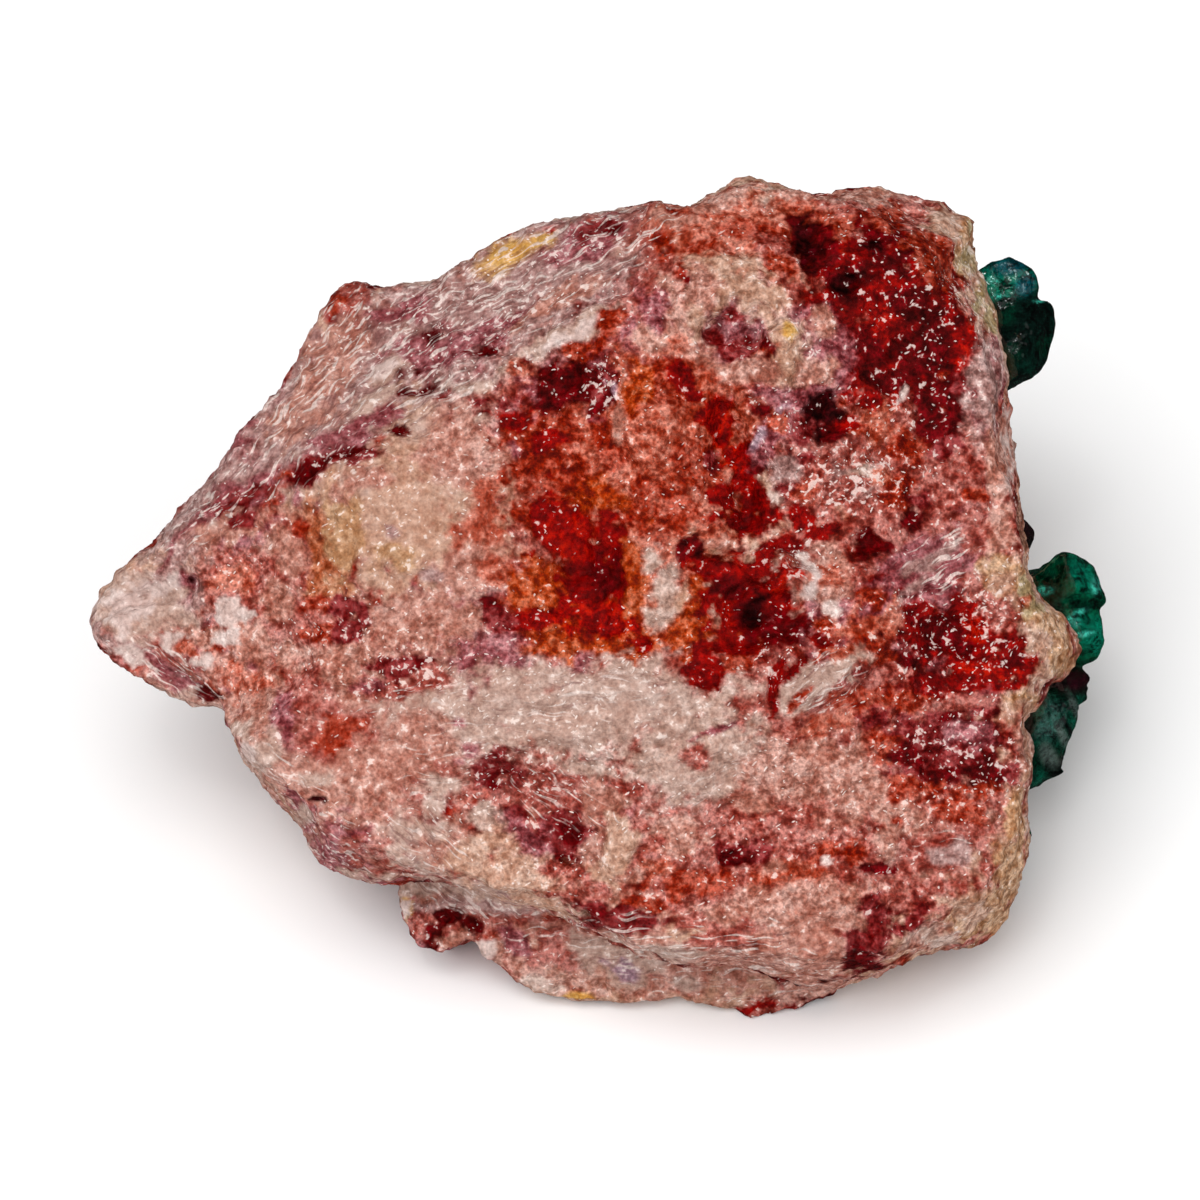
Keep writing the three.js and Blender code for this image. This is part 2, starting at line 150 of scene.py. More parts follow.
# Lumps and hollows that are too fine for the solid: x, y, half sizes in pixels, turn, height in mm.
RELIEF = [
    # slots in the streaked flank
    (435, 336, 15, 5, -8, -0.45), (484, 352, 16, 5, -2, -0.45), (418, 362, 6, 9, -20, -0.35),
    (417, 389, 21, 6, 8, -0.45), (398, 430, 12, 5, 5, -0.4), (308, 468, 22, 8, 22, -0.4),
    (352, 450, 11, 8, 0, -0.35), (247, 498, 18, 9, 25, -0.4), (458, 409, 12, 6, 10, -0.3),
    # pale lip along the ridge
    (575, 326, 40, 9, 34, 0.45), (500, 372, 40, 9, 25, 0.3), (388, 366, 16, 10, 30, 0.3),
    # tip: scoop, pit and rim
    (150, 608, 32, 22, 20, -0.7), (193, 583, 9, 9, 0, -0.7), (226, 634, 16, 12, 0, 0.35),
    (196, 655, 16, 10, 0, 0.3), (118, 600, 16, 9, 50, 0.35),
    # pit in the cream patch
    (716, 334, 12, 12, 0, -0.5), (752, 338, 13, 10, 0, -0.45), (735, 330, 34, 28, 0, -0.35),
    (690, 300, 18, 14, 30, 0.3), (785, 345, 16, 20, 0, 0.3), (735, 285, 26, 12, 0, 0.3),
    # red hollows
    (812, 240, 18, 20, 0, -0.5), (849, 283, 16, 14, 0, -0.45), (832, 412, 20, 28, -10, -0.7),
    (727, 430, 13, 42, 14, -0.6), (742, 500, 12, 26, 14, -0.5), (690, 370, 8, 26, 40, -0.3),
    (756, 615, 40, 28, 10, -0.7), (715, 570, 24, 16, -30, -0.4), (948, 632, 30, 26, 0, -0.5),
    (1010, 650, 22, 16, 0, -0.3), (588, 560, 22, 26, 0, -0.5), (560, 370, 30, 20, 10, -0.4),
    (703, 676, 14, 14, 0, -0.35), (869, 541, 16, 12, 0, -0.4), (918, 512, 18, 12, 0, -0.3),
    # ribs and blocks between them
    (650, 440, 30, 44, 20, 0.4), (615, 380, 8, 26, 10, 0.35), (770, 448, 9, 30, 48, 0.35),
    (852, 478, 44, 18, 4, 0.3), (662, 585, 14, 26, -10, 0.35), (713, 545, 22, 10, 0, 0.25),
    (800, 556, 26, 6, -35, 0.5), (822, 596, 12, 18, -20, 0.45), (888, 415, 14, 22, 30, 0.3),
    (955, 560, 30, 7, 38, 0.35), (935, 582, 30, 6, 42, -0.3),
    # folded flakes
    (812, 690, 26, 10, 58, 0.5), (842, 680, 20, 12, 40, 0.5), (776, 680, 4, 26, -12, -0.45),
    (797, 672, 5, 24, -38, -0.45), (822, 712, 24, 4, 45, -0.35), (790, 640, 22, 8, 20, 0.3),
    # pale band and its folds
    (520, 700, 90, 9, 8, 0.25), (640, 690, 60, 12, -6, 0.35), (560, 735, 60, 8, 14, 0.3),
    (700, 770, 40, 26, 10, 0.35), (690, 735, 60, 5, 14, -0.25), (425, 842, 30, 22, -30, 0.3),
    (420, 830, 5, 22, -30, -0.3), (440, 850, 5, 20, 20, -0.3), (312, 786, 16, 9, -10, 0.35),
    (302, 790, 12, 5, -20, -0.35), (617, 845, 12, 30, -8, 0.5), (568, 838, 9, 9, 0, -0.4),
    (564, 860, 9, 8, 0, -0.4), (491, 775, 16, 14, 0, -0.3),
    # lower right lumps
    (826, 855, 11, 11, 0, -0.3), (826, 856, 20, 18, 0, 0.25), (885, 845, 16, 14, 0, 0.45),
    (829, 895, 22, 20, 0, 0.5), (779, 912, 22, 20, 0, 0.4), (862, 940, 12, 26, 0, -0.45),
    (895, 915, 14, 10, 0, -0.3), (981, 888, 24, 20, 0, 0.3), (736, 855, 14, 10, 0, -0.3),
    # lower ledge
    (448, 917, 9, 7, -20, -0.35), (437, 940, 5, 12, -20, -0.4), (471, 928, 8, 6, 0, -0.35),
    (560, 975, 40, 6, -8, 0.3), (620, 985, 40, 8, -4, 0.3), (766, 1006, 40, 6, 10, -0.3),
    (170, 672, 20, 6, -35, -0.3),
]

# Fibres in the stone follow the flow of each part of the face: their turn on it in degrees and the
# shift of their noise, then x, y, half sizes, turn, strength of each place.
FIBRES = {
    "up_right": (28, 2.0, [
        (490, 290, 180, 66, 27, 1.0), (430, 400, 60, 30, 20, 0.8), (200, 520, 60, 26, 35, 0.9),
        (620, 240, 70, 40, 30, 0.9), (940, 560, 50, 34, 38, 0.9), (825, 690, 44, 40, 45, 0.9),
        (130, 590, 40, 50, 50, 0.5), (400, 700, 80, 30, 25, 0.5), (700, 780, 60, 40, 30, 0.5),
    ]),
    "level": (4, 9.0, [
        (560, 700, 180, 50, 4, 0.6), (650, 950, 200, 40, -8, 0.8), (430, 770, 60, 50, 10, 0.6),
        (330, 860, 60, 30, -20, 0.6), (760, 960, 120, 40, 10, 0.7), (950, 850, 60, 30, 12, 0.5),
    ]),
    "down_right": (-36, 15.0, [
        (300, 800, 50, 90, 40, 0.7), (425, 842, 44, 40, -30, 1.0), (170, 670, 60, 24, -35, 1.0),
        (560, 800, 90, 40, -30, 0.6), (800, 556, 34, 18, -35, 0.8), (470, 900, 70, 16, -14, 1.0),
    ]),
    "steep": (54, 21.0, [
        (320, 390, 110, 62, 55, 1.0), (250, 470, 70, 34, 50, 0.8), (345, 320, 44, 40, 60, 0.8),
    ]),
}

# The stone's own tints, from clear white quartz to the darkest iron.
TINTS = {
    "white": "#d8beb6", "ash": "#c1a093", "cream": "#c29884", "tan": "#b98c6c", "ochre": "#d4a261",
    "amber": "#ae654a", "blush": "#b98274", "grey": "#ab847e", "lilac": "#ae8e98",
    "salmon": "#b3604f", "rose": "#a2584f", "mauve": "#975558", "brick": "#983a2c",
    "orange": "#a8482e", "scarlet": "#960803", "red": "#7c0302", "wine": "#7c2a2a",
    "maroon": "#580406", "black": "#2c0001", "khaki": "#b29b78",
}

# The iron stains and the clear white end sharply, while the paler tints run into one another.
IRON_TINTS = ("brick", "orange", "scarlet", "red", "wine", "maroon", "black", "white")

# How the tints lie on the broad face, from the ground up: x, y, half sizes in pixels, turn.
STAINS = [
    # ground of each part of the face
    ("rose", [(760, 800, 330, 190, 0)]),
    ("blush", [(330, 720, 150, 150, 0)]),
    ("grey", [(480, 310, 200, 85, 24), (330, 400, 100, 80, 45), (210, 500, 100, 36, 42)]),
    ("salmon", [(640, 470, 150, 150, 0), (750, 235, 120, 50, 0)]),
    ("red", [(885, 320, 95, 130, 0)]),
    ("rose", [(880, 480, 130, 90, 0), (285, 590, 90, 70, 0)]),
    ("cream", [(415, 510, 108, 95, 0)]),
    ("ash", [(560, 705, 205, 50, 2), (700, 765, 90, 60, 0), (150, 605, 66, 46, 20)]),
    ("blush", [(760, 930, 190, 60, 0), (830, 780, 90, 50, 0), (600, 965, 130, 36, -5)]),
    # streaked flank
    ("blush", [(335, 360, 28, 70, -25), (300, 410, 20, 40, -40), (560, 300, 60, 12, 28)]),
    ("tan", [(508, 256, 54, 16, 22)]),
    ("ochre", [(508, 253, 30, 10, 22), (545, 238, 20, 9, 20)]),
    ("rose", [(346, 292, 26, 15, 20), (640, 295, 44, 18, 33), (655, 255, 20, 24, 20)]),
    ("brick", [(334, 298, 12, 12, 0), (660, 248, 12, 16, 20)]),
    ("mauve", [
        (445, 350, 64, 24, 8), (335, 447, 46, 14, 28), (240, 498, 50, 16, 32), (590, 240, 50, 14, 22),
        (395, 310, 40, 16, 20), (370, 420, 40, 10, 20), (180, 545, 40, 10, 45), (500, 320, 40, 8, 25),
    ]),
    ("wine", [
        (485, 407, 40, 9, 4), (600, 232, 26, 9, 20), (246, 500, 28, 12, 30), (312, 466, 36, 12, 24),
        (338, 456, 26, 9, 20),
    ]),
    ("maroon", [
        (435, 336, 16, 7, -8), (483, 353, 20, 6, 8), (418, 362, 7, 13, -8), (417, 388, 22, 7, 10),
        (398, 430, 13, 6, 10), (352, 449, 15, 9, 0), (301, 473, 16, 9, 25), (325, 460, 16, 6, 30),
        (243, 512, 10, 9, 0), (458, 409, 12, 6, 0), (610, 230, 12, 7, 20),
    ]),
    ("ash", [
        (392, 367, 26, 9, 25), (550, 342, 50, 9, 33), (375, 398, 34, 8, 35), (515, 368, 24, 8, 15),
        (470, 385, 30, 8, 10), (590, 322, 30, 14, 38),
    ]),
    ("white", [(570, 335, 34, 8, 34), (388, 366, 14, 6, 25)]),
    # cream bulge
    ("amber", [(312, 556, 13, 46, 0), (325, 590, 24, 12, 20), (334, 552, 18, 44, 0)]),
    ("cream", [(405, 545, 60, 46, 0)]),
    ("tan", [(345, 530, 20, 50, 0), (395, 560, 22, 14, 0)]),
    ("blush", [
        (460, 450, 44, 44, 20), (420, 620, 96, 24, 0), (470, 570, 34, 30, 0), (370, 480, 34, 14, 20),
    ]),
    ("salmon", [(475, 528, 28, 22, 0), (490, 500, 18, 26, 0), (500, 570, 22, 20, 0)]),
    ("grey", [(393, 530, 9, 8, 0), (430, 576, 12, 7, 0)]),
    # tip and what is next to it
    ("grey", [(112, 640, 40, 12, -35), (175, 562, 44, 12, 45), (200, 590, 16, 16, 0)]),
    ("white", [(130, 605, 26, 22, 30), (236, 618, 16, 18, 0), (165, 585, 24, 10, 40)]),
    ("maroon", [(192, 583, 9, 8, 0), (203, 694, 16, 9, -15)]),
    ("mauve", [(170, 672, 34, 10, -35), (192, 583, 16, 13, 0)]),
    ("black", [(192, 582, 6, 6, 0)]),
    ("blush", [
        (205, 640, 22, 12, 0), (230, 528, 40, 14, 20), (278, 545, 26, 30, 0), (280, 600, 26, 24, 0),
    ]),
    ("rose", [(240, 570, 36, 24, 10), (300, 640, 30, 26, 0)]),
    ("blush", [(250, 640, 20, 20, 0)]),
    ("white", [
        (226, 640, 14, 10, 0), (128, 655, 20, 9, -35), (176, 645, 16, 9, 0), (200, 660, 14, 9, 0),
    ]),
    ("salmon", [(235, 577, 22, 14, 0), (238, 682, 28, 20, -10), (190, 650, 14, 8, -20)]),
    ("brick", [(316, 604, 16, 12, 0), (318, 636, 24, 9, 0)]),
    ("wine", [(345, 614, 17, 15, 0), (352, 633, 14, 13, 0)]),
    # scarlet middle
    ("brick", [
        (545, 440, 44, 46, 0), (660, 510, 50, 34, 0), (675, 375, 34, 36, -30), (560, 500, 46, 50, 0),
        (700, 470, 26, 30, 0),
    ]),
    ("salmon", [(640, 450, 30, 54, 12), (700, 375, 34, 20, -20), (520, 372, 14, 12, 0)]),
    ("blush", [
        (648, 336, 16, 14, 0), (624, 415, 6, 30, -8), (722, 544, 28, 9, 0), (704, 340, 10, 14, 0),
    ]),
    ("brick", [
        (605, 425, 14, 26, 0), (612, 320, 16, 12, 30), (588, 350, 24, 9, 25), (676, 346, 12, 14, 0),
    ]),
    ("orange", [
        (560, 600, 56, 46, 0), (636, 590, 26, 52, 0), (590, 640, 90, 18, 2), (640, 385, 14, 34, -10),
        (600, 500, 30, 20, 0), (690, 630, 26, 26, 0), (700, 590, 16, 20, 0),
    ]),
    ("maroon", [(575, 378, 46, 28, 18), (548, 400, 22, 16, 0), (598, 406, 15, 13, 0)]),
    ("red", [
        (520, 420, 22, 14, 0), (550, 440, 18, 14, 0), (548, 500, 20, 18, 0), (562, 535, 26, 30, -10),
        (590, 572, 38, 46, 0), (686, 380, 13, 30, 30), (748, 478, 19, 46, 12), (540, 620, 40, 12, 0),
        (640, 640, 14, 10, 0),
    ]),
    ("scarlet", [
        (716, 421, 17, 28, 12), (600, 622, 44, 16, 0), (735, 460, 14, 20, 12), (572, 540, 22, 26, 0),
    ]),
    ("red", [(610, 545, 24, 34, 0), (616, 580, 14, 24, 0)]),
    ("maroon", [
        (600, 574, 24, 26, 0), (757, 468, 10, 22, 10), (490, 614, 16, 17, 0), (692, 545, 12, 18, 0),
    ]),
    ("wine", [(712, 462, 10, 14, 0), (600, 420, 14, 8, 0)]),
    ("lilac", [(608, 386, 7, 24, 16)]),
    ("ash", [(664, 592, 12, 36, -12), (654, 560, 12, 14, 0), (676, 570, 12, 12, 0)]),
    # halo and pit
    ("cream", [(732, 304, 68, 56, 0), (790, 352, 30, 34, 0)]),
    ("blush", [(672, 304, 20, 32, 0), (735, 365, 50, 14, -10), (700, 290, 22, 20, 0)]),
    ("mauve", [
        (736, 332, 32, 24, 0), (832, 345, 26, 44, 0), (800, 395, 50, 14, 0), (650, 300, 14, 22, 30),
    ]),
    ("wine", [(713, 334, 9, 13, 0), (740, 318, 14, 8, 0), (762, 347, 14, 10, 0), (740, 354, 14, 6, 0)]),
    ("blush", [(826, 325, 16, 16, 0), (812, 372, 20, 14, 0)]),
    ("ochre", [(789, 333, 6, 13, 0)]),
    ("maroon", [(764, 346, 8, 7, 0)]),
    # pink crest
    ("blush", [(850, 195, 70, 9, -4), (715, 205, 40, 9, 25)]),
    ("brick", [
        (752, 232, 50, 10, 0), (850, 222, 26, 14, 0), (935, 265, 22, 40, 0), (700, 240, 18, 12, 0),
    ]),
    ("rose", [(920, 212, 34, 20, -10), (780, 250, 26, 14, 0)]),
    # dark right
    ("maroon", [
        (812, 242, 24, 30, 0), (876, 236, 24, 28, 0), (846, 282, 24, 20, 0), (906, 300, 26, 22, 0),
        (930, 350, 34, 40, 0), (870, 350, 22, 26, 0), (935, 415, 28, 38, 0), (895, 385, 24, 16, 0),
    ]),
    ("black", [
        (808, 245, 15, 20, 0), (846, 282, 14, 14, 0), (828, 416, 19, 32, 8), (872, 246, 12, 12, 0),
    ]),
    ("brick", [(920, 250, 22, 14, 0), (915, 452, 34, 14, 0)]),
    ("maroon", [(895, 262, 20, 12, 0), (955, 386, 14, 22, 0)]),
    ("brick", [(824, 222, 14, 9, 0)]),
    ("scarlet", [(966, 345, 13, 42, 0), (885, 322, 16, 14, 0)]),
    ("wine", [(802, 424, 20, 15, 0), (800, 455, 20, 12, 0), (790, 480, 24, 20, 0)]),
    ("salmon", [(880, 425, 26, 22, 20)]),
    ("brick", [(856, 436, 12, 14, 0)]),
    ("mauve", [(770, 442, 12, 36, -38)]),
    ("brick", [(778, 420, 12, 12, 0)]),
    ("lilac", [(766, 430, 6, 28, -38)]),
    ("rose", [(850, 478, 54, 32, 0)]),
    ("grey", [(780, 470, 14, 24, -30), (860, 478, 34, 18, 0)]),
    ("ash", [(862, 474, 20, 13, 0), (770, 497, 16, 8, 0), (760, 522, 6, 12, 0)]),
    ("rose", [(930, 480, 34, 22, 0), (975, 480, 26, 24, 0)]),
    ("red", [
        (774, 514, 10, 12, 0), (806, 518, 18, 14, 0), (790, 543, 18, 9, -20), (764, 548, 16, 14, 0),
        (742, 518, 22, 16, 0), (757, 500, 12, 20, 0),
    ]),
    ("maroon", [(916, 519, 22, 15, 0), (988, 484, 7, 6, 0), (901, 500, 12, 8, 0)]),
    ("brick", [(980, 492, 16, 14, 0)]),
    ("rose", [(958, 532, 46, 22, 0)]),
    ("mauve", [(920, 572, 54, 34, 35)]),
    ("grey", [(930, 560, 40, 8, 35), (915, 590, 34, 6, 40), (985, 385, 20, 56, -4)]),
    ("maroon", [(868, 548, 22, 15, 0)]),
    # pool
    ("red", [
        (752, 568, 28, 10, 0), (752, 600, 60, 46, 0), (722, 575, 34, 22, -20), (704, 664, 18, 24, -12),
        (740, 645, 34, 12, 0), (696, 682, 14, 7, 0),
    ]),
    ("scarlet", [(790, 580, 22, 24, 0), (735, 610, 14, 20, 0)]),
    ("maroon", [(764, 620, 28, 28, 0), (725, 590, 18, 12, 0), (800, 625, 26, 14, 0)]),
    ("black", [(762, 612, 14, 20, 0)]),
    ("blush", [(825, 578, 32, 36, 0)]),
    ("salmon", [(833, 578, 16, 14, 0), (850, 632, 34, 14, -20), (823, 572, 20, 14, 0)]),
    ("white", [(805, 560, 6, 20, 38), (832, 608, 16, 7, 0), (810, 592, 8, 9, 0)]),
    ("brick", [(824, 626, 18, 9, 0)]),
    ("red", [(826, 645, 18, 10, -20), (820, 530, 16, 10, 0), (786, 541, 18, 8, -10)]),
    ("salmon", [(878, 612, 34, 18, 20)]),
    ("brick", [(872, 602, 16, 9, 20)]),
    ("mauve", [(880, 600, 22, 8, 30)]),
    # right pool
    ("red", [(962, 640, 68, 40, 0), (1014, 655, 26, 24, 0)]),
    ("maroon", [(946, 636, 28, 24, 0), (903, 656, 22, 16, 0), (1010, 660, 14, 12, 0)]),
    ("scarlet", [(985, 672, 34, 12, 0), (975, 625, 16, 12, 0)]),
    ("red", [(955, 684, 50, 12, 0), (1006, 689, 22, 8, 0), (925, 700, 26, 12, 0)]),
    ("rose", [(985, 600, 26, 12, 20), (1000, 618, 14, 12, 0)]),
    ("brick", [(868, 655, 30, 16, 0)]),
    # flakes
    ("ash", [(808, 684, 44, 26, 45), (842, 664, 20, 15, 20)]),
    ("red", [(777, 688, 8, 34, -6), (796, 668, 6, 28, -38)]),
    ("brick", [(800, 700, 20, 5, 50), (862, 700, 40, 14, 5), (820, 655, 14, 6, 40)]),
    ("salmon", [(818, 726, 40, 13, 10)]),
    # lower right
    ("wine", [
        (935, 745, 80, 50, 0), (900, 750, 30, 24, 0), (978, 711, 26, 9, 0), (1015, 776, 12, 14, 0),
    ]),
    ("brick", [(888, 752, 24, 20, 0), (915, 705, 34, 10, 0)]),
    ("maroon", [
        (985, 776, 30, 16, 0), (905, 752, 20, 14, 0), (940, 775, 20, 12, 0), (960, 720, 30, 10, 0),
    ]),
    ("mauve", [(973, 738, 22, 20, 0)]),
    ("rose", [(950, 706, 40, 7, 0)]),
    ("brick", [(905, 790, 36, 15, 0)]),
    ("blush", [(860, 780, 24, 38, 0), (905, 815, 36, 18, 0), (1024, 750, 10, 34, 0)]),
    ("brick", [(960, 812, 46, 16, 0), (990, 795, 26, 12, 0)]),
    ("rose", [(760, 815, 66, 22, 0), (690, 880, 60, 30, 0)]),
    ("blush", [(680, 836, 30, 16, 0)]),
    ("salmon", [(790, 870, 40, 20, 0), (655, 870, 20, 20, 0)]),
    ("blush", [(752, 803, 26, 10, 0), (772, 862, 12, 9, 0)]),
    ("wine", [(738, 847, 30, 16, 0)]),
    ("maroon", [(735, 856, 18, 10, 0), (880, 868, 18, 7, 0)]),
    ("brick", [
        (700, 885, 44, 12, 8), (826, 852, 22, 12, 0), (856, 852, 14, 10, 0), (644, 884, 14, 14, 0),
    ]),
    ("white", [(827, 860, 7, 6, 0)]),
    ("blush", [(885, 844, 18, 16, 0), (829, 905, 32, 26, 0), (780, 912, 30, 24, 0)]),
    ("rose", [(945, 852, 44, 22, 0), (932, 900, 40, 22, 0)]),
    ("grey", [(955, 855, 24, 12, 0)]),
    ("wine", [(893, 915, 38, 24, -8), (866, 945, 24, 34, -20)]),
    ("maroon", [(900, 914, 11, 8, 0), (862, 958, 15, 16, 0)]),
    ("rose", [(900, 905, 12, 20, 40), (720, 935, 50, 14, 0)]),
    ("red", [(758, 1006, 36, 6, 10)]),
    ("blush", [(815, 992, 40, 12, 8)]),
    ("wine", [(605, 914, 54, 13, -8), (645, 922, 30, 10, 0)]),
    ("brick", [(648, 904, 24, 8, 0)]),
    ("maroon", [(610, 915, 26, 8, -8)]),
    ("cream", [(616, 842, 15, 46, -6), (600, 868, 14, 16, 0), (683, 930, 20, 10, 20)]),
    # lower ledge
    ("rose", [(450, 925, 54, 24, 0), (560, 958, 34, 20, -15)]),
    ("grey", [
        (440, 906, 40, 12, 0), (500, 904, 60, 12, -15), (455, 940, 14, 6, 0), (485, 950, 14, 9, -30),
    ]),
    ("mauve", [(515, 945, 26, 10, -30)]),
    ("maroon", [(448, 916, 13, 9, -10), (437, 938, 9, 15, -15), (471, 928, 14, 8, 0)]),
    ("ash", [(616, 966, 46, 26, 0)]),
    ("lilac", [(620, 968, 20, 10, 0)]),
    ("ash", [
        (590, 948, 22, 10, 0), (540, 985, 26, 7, -8), (470, 890, 74, 7, -8), (660, 955, 40, 10, 0),
    ]),
    ("ochre", [(578, 999, 16, 5, -5), (404, 904, 8, 18, 15)]),
    # lower left
    ("wine", [(392, 665, 38, 16, 8), (498, 775, 36, 22, 0)]),
    ("rose", [(300, 690, 20, 24, 0), (330, 730, 46, 34, 0)]),
    ("brick", [(340, 732, 30, 18, 0)]),
    ("blush", [(350, 760, 20, 12, 0)]),
    ("maroon", [(420, 664, 12, 9, 0), (495, 780, 16, 12, 0)]),
    ("blush", [
        (360, 790, 50, 24, -10), (340, 655, 40, 10, 0), (425, 740, 40, 26, 0), (290, 650, 12, 12, 0),
    ]),
    ("mauve", [(280, 715, 16, 30, 0), (300, 810, 26, 16, -40), (340, 845, 30, 26, -30)]),
    ("ash", [
        (262, 755, 14, 26, -30), (313, 780, 18, 8, -5), (425, 845, 38, 34, 0), (375, 882, 54, 8, -14),
    ]),
    # a painted shadow under the ash fold above it
    ("black", [(315, 799, 12, 4, 0)]),
    ("blush", [(590, 830, 16, 24, 0), (612, 796, 24, 12, 0), (632, 876, 16, 9, 0)]),
    ("rose", [(545, 795, 42, 26, 0), (385, 690, 40, 12, 0), (352, 850, 12, 14, 0)]),
    ("ash", [(440, 790, 24, 18, 10)]),
    ("wine", [(562, 832, 34, 24, 0), (520, 815, 18, 14, 0)]),
    ("mauve", [(520, 840, 26, 24, 0)]),
    ("maroon", [(568, 830, 14, 11, 0), (562, 860, 14, 9, 0)]),
    ("ash", [(484, 818, 14, 16, 0)]),
    ("blush", [(455, 850, 40, 22, 0), (592, 800, 14, 22, 0), (590, 850, 12, 16, 0)]),
    ("cream", [(505, 872, 56, 24, -8), (485, 846, 26, 14, 0), (535, 900, 40, 12, -12)]),
    # brown mottle between the band and the red
    ("rose", [(632, 788, 26, 8, -20)]),
    ("mauve", [(712, 732, 30, 3, 22), (460, 722, 8, 5, 0)]),
    # smaller spots over all of it
    ("brick", [
        (900, 500, 18, 13, 0), (777, 425, 13, 10, 0), (886, 214, 19, 13, 0), (740, 663, 19, 9, 0),
        (613, 459, 14, 11, 0), (577, 346, 15, 9, 20), (808, 490, 18, 12, 0), (967, 793, 19, 10, 0),
        (643, 487, 15, 13, 0), (870, 599, 14, 9, 0), (897, 483, 16, 9, 0), (782, 264, 14, 11, 0),
    ]),
    ("salmon", [(675, 346, 17, 12, 0), (885, 478, 13, 10, 0), (840, 652, 15, 8, 0)]),
    ("orange", [(630, 562, 14, 24, 0)]),
    ("rose", [
        (853, 482, 20, 10, 0), (430, 679, 23, 12, 0), (689, 921, 17, 9, 0), (900, 418, 13, 10, 0),
        (996, 503, 14, 23, 0), (692, 757, 19, 9, 0), (550, 870, 19, 10, 0), (1003, 804, 14, 13, 0),
    ]),
    ("mauve", [(365, 686, 19, 10, 0), (415, 357, 19, 11, 0), (939, 582, 19, 10, 35)]),
    ("wine", [
        (494, 625, 18, 13, 0), (628, 925, 28, 12, -5), (919, 502, 15, 10, 0), (963, 385, 12, 12, 0),
        (948, 446, 14, 10, 0), (244, 519, 17, 8, 20), (366, 456, 17, 9, 20), (606, 372, 12, 12, 0),
        (903, 933, 15, 10, 0), (596, 392, 9, 9, 0), (741, 346, 17, 10, 0), (1014, 770, 14, 14, 0),
    ]),
    ("red", [
        (962, 608, 16, 9, 0), (868, 401, 13, 10, 0), (722, 497, 13, 12, 0), (848, 427, 14, 12, 0),
    ]),
    ("maroon", [(837, 438, 12, 10, 0), (598, 408, 20, 14, 0), (865, 536, 14, 9, 0)]),
    ("blush", [
        (424, 895, 18, 12, 0), (253, 699, 16, 12, 0), (672, 218, 18, 9, 0), (453, 942, 15, 10, 0),
    ]),
    ("ash", [
        (585, 767, 22, 9, 0), (688, 985, 24, 9, 0), (299, 816, 15, 10, 0), (943, 944, 21, 11, 0),
        (417, 889, 20, 10, 0), (242, 729, 12, 12, 0),
    ]),
    ("white", [
        (483, 950, 15, 8, 0), (1006, 452, 13, 48, -6), (903, 396, 5, 11, -35), (245, 756, 10, 14, 0),
        (402, 908, 10, 14, 0),
    ]),
    # crust that laps over the rim from the side with the crystals
    ("cream", [(950, 218, 24, 22, -20), (974, 262, 13, 46, -8), (990, 305, 14, 26, 0)]),
    ("blush", [(998, 460, 16, 50, -6), (1005, 530, 16, 30, 0)]),
    ("tan", [
        (968, 235, 9, 40, -10), (1003, 572, 22, 20, 20), (1046, 622, 26, 20, -40),
        (1058, 660, 16, 24, 0), (1012, 870, 20, 40, 0), (985, 915, 40, 26, 0), (1022, 702, 16, 8, 20),
        (1018, 820, 12, 34, 0),
    ]),
    ("khaki", [
        (972, 240, 8, 34, -12), (984, 282, 9, 26, -12), (994, 310, 7, 20, 0), (1040, 606, 16, 8, 40),
        (1026, 588, 13, 10, 20),
    ]),
    ("cream", [
        (965, 905, 26, 18, 0), (1040, 640, 14, 16, 0), (1000, 580, 12, 12, 0), (1020, 706, 10, 6, 10),
    ]),
]

# Glassy grains, where white flecks are painted more often: white quartz, and painted glints where the
# grains catch the light.
GRAINS_AND_PAINTED_GLINTS = [
    (880, 340, 110, 130, 0, 0.45), (955, 311, 26, 34, 0, 0.7), (900, 290, 34, 34, 0, 0.5),
    (852, 478, 70, 34, 0, 1.0), (600, 385, 24, 34, 0, 0.9), (750, 460, 60, 60, 0, 0.45),
    (960, 640, 90, 60, 0, 0.6), (995, 598, 34, 24, 0, 1.0), (800, 560, 34, 20, 0, 1.0),
    (960, 760, 70, 50, 0, 0.7), (540, 700, 180, 60, 0, 0.45), (540, 780, 70, 40, 0, 0.7),
    (420, 520, 120, 90, 0, 0.3), (480, 300, 180, 70, 26, 0.6), (350, 460, 40, 20, 0, 0.6),
    (390, 660, 80, 40, 0, 0.6), (972, 270, 20, 60, 0, 0.8), (790, 640, 60, 60, 0, 0.5),
    (740, 800, 200, 90, 0, 0.3), (560, 860, 60, 30, 0, 0.5),
    (598, 572, 36, 44, 0, 0.0), (752, 605, 58, 42, 0, 0.0), (746, 480, 18, 46, 12, 0.0),
    (720, 425, 20, 30, 12, 0.0), (966, 345, 12, 40, 0, 0.1), (828, 416, 19, 30, 8, 0.1),
    (811, 240, 22, 28, 0, 0.0), (846, 282, 18, 18, 0, 0.1), (866, 352, 30, 26, 0, 0.1),
    (876, 236, 20, 22, 0, 0.2),
]

# Where the stone is even, without mottle.
EVEN = [
    (400, 530, 125, 105, 0, 1.0), (330, 735, 60, 44, 0, 0.7), (750, 610, 60, 45, 0, 0.7),
    (596, 560, 56, 60, 0, 0.7), (160, 600, 40, 30, 0, 0.6), (560, 705, 160, 40, 2, 0.4),
]


def painted(strokes, ground):
    """Lays the strokes one over another, each pulling the amount towards its own level."""
    amount = np.full(rock_count, ground)
    for x, y, across, along, turn, level in strokes:
        cover = stroke(x, y, across, along, turn)
        amount += (level - amount) * cover
    return amount


def added(strokes):
    total = np.zeros(rock_count)
    for x, y, across, along, turn, height in strokes:
        total += height * stroke(x, y, across, along, turn)
    return total


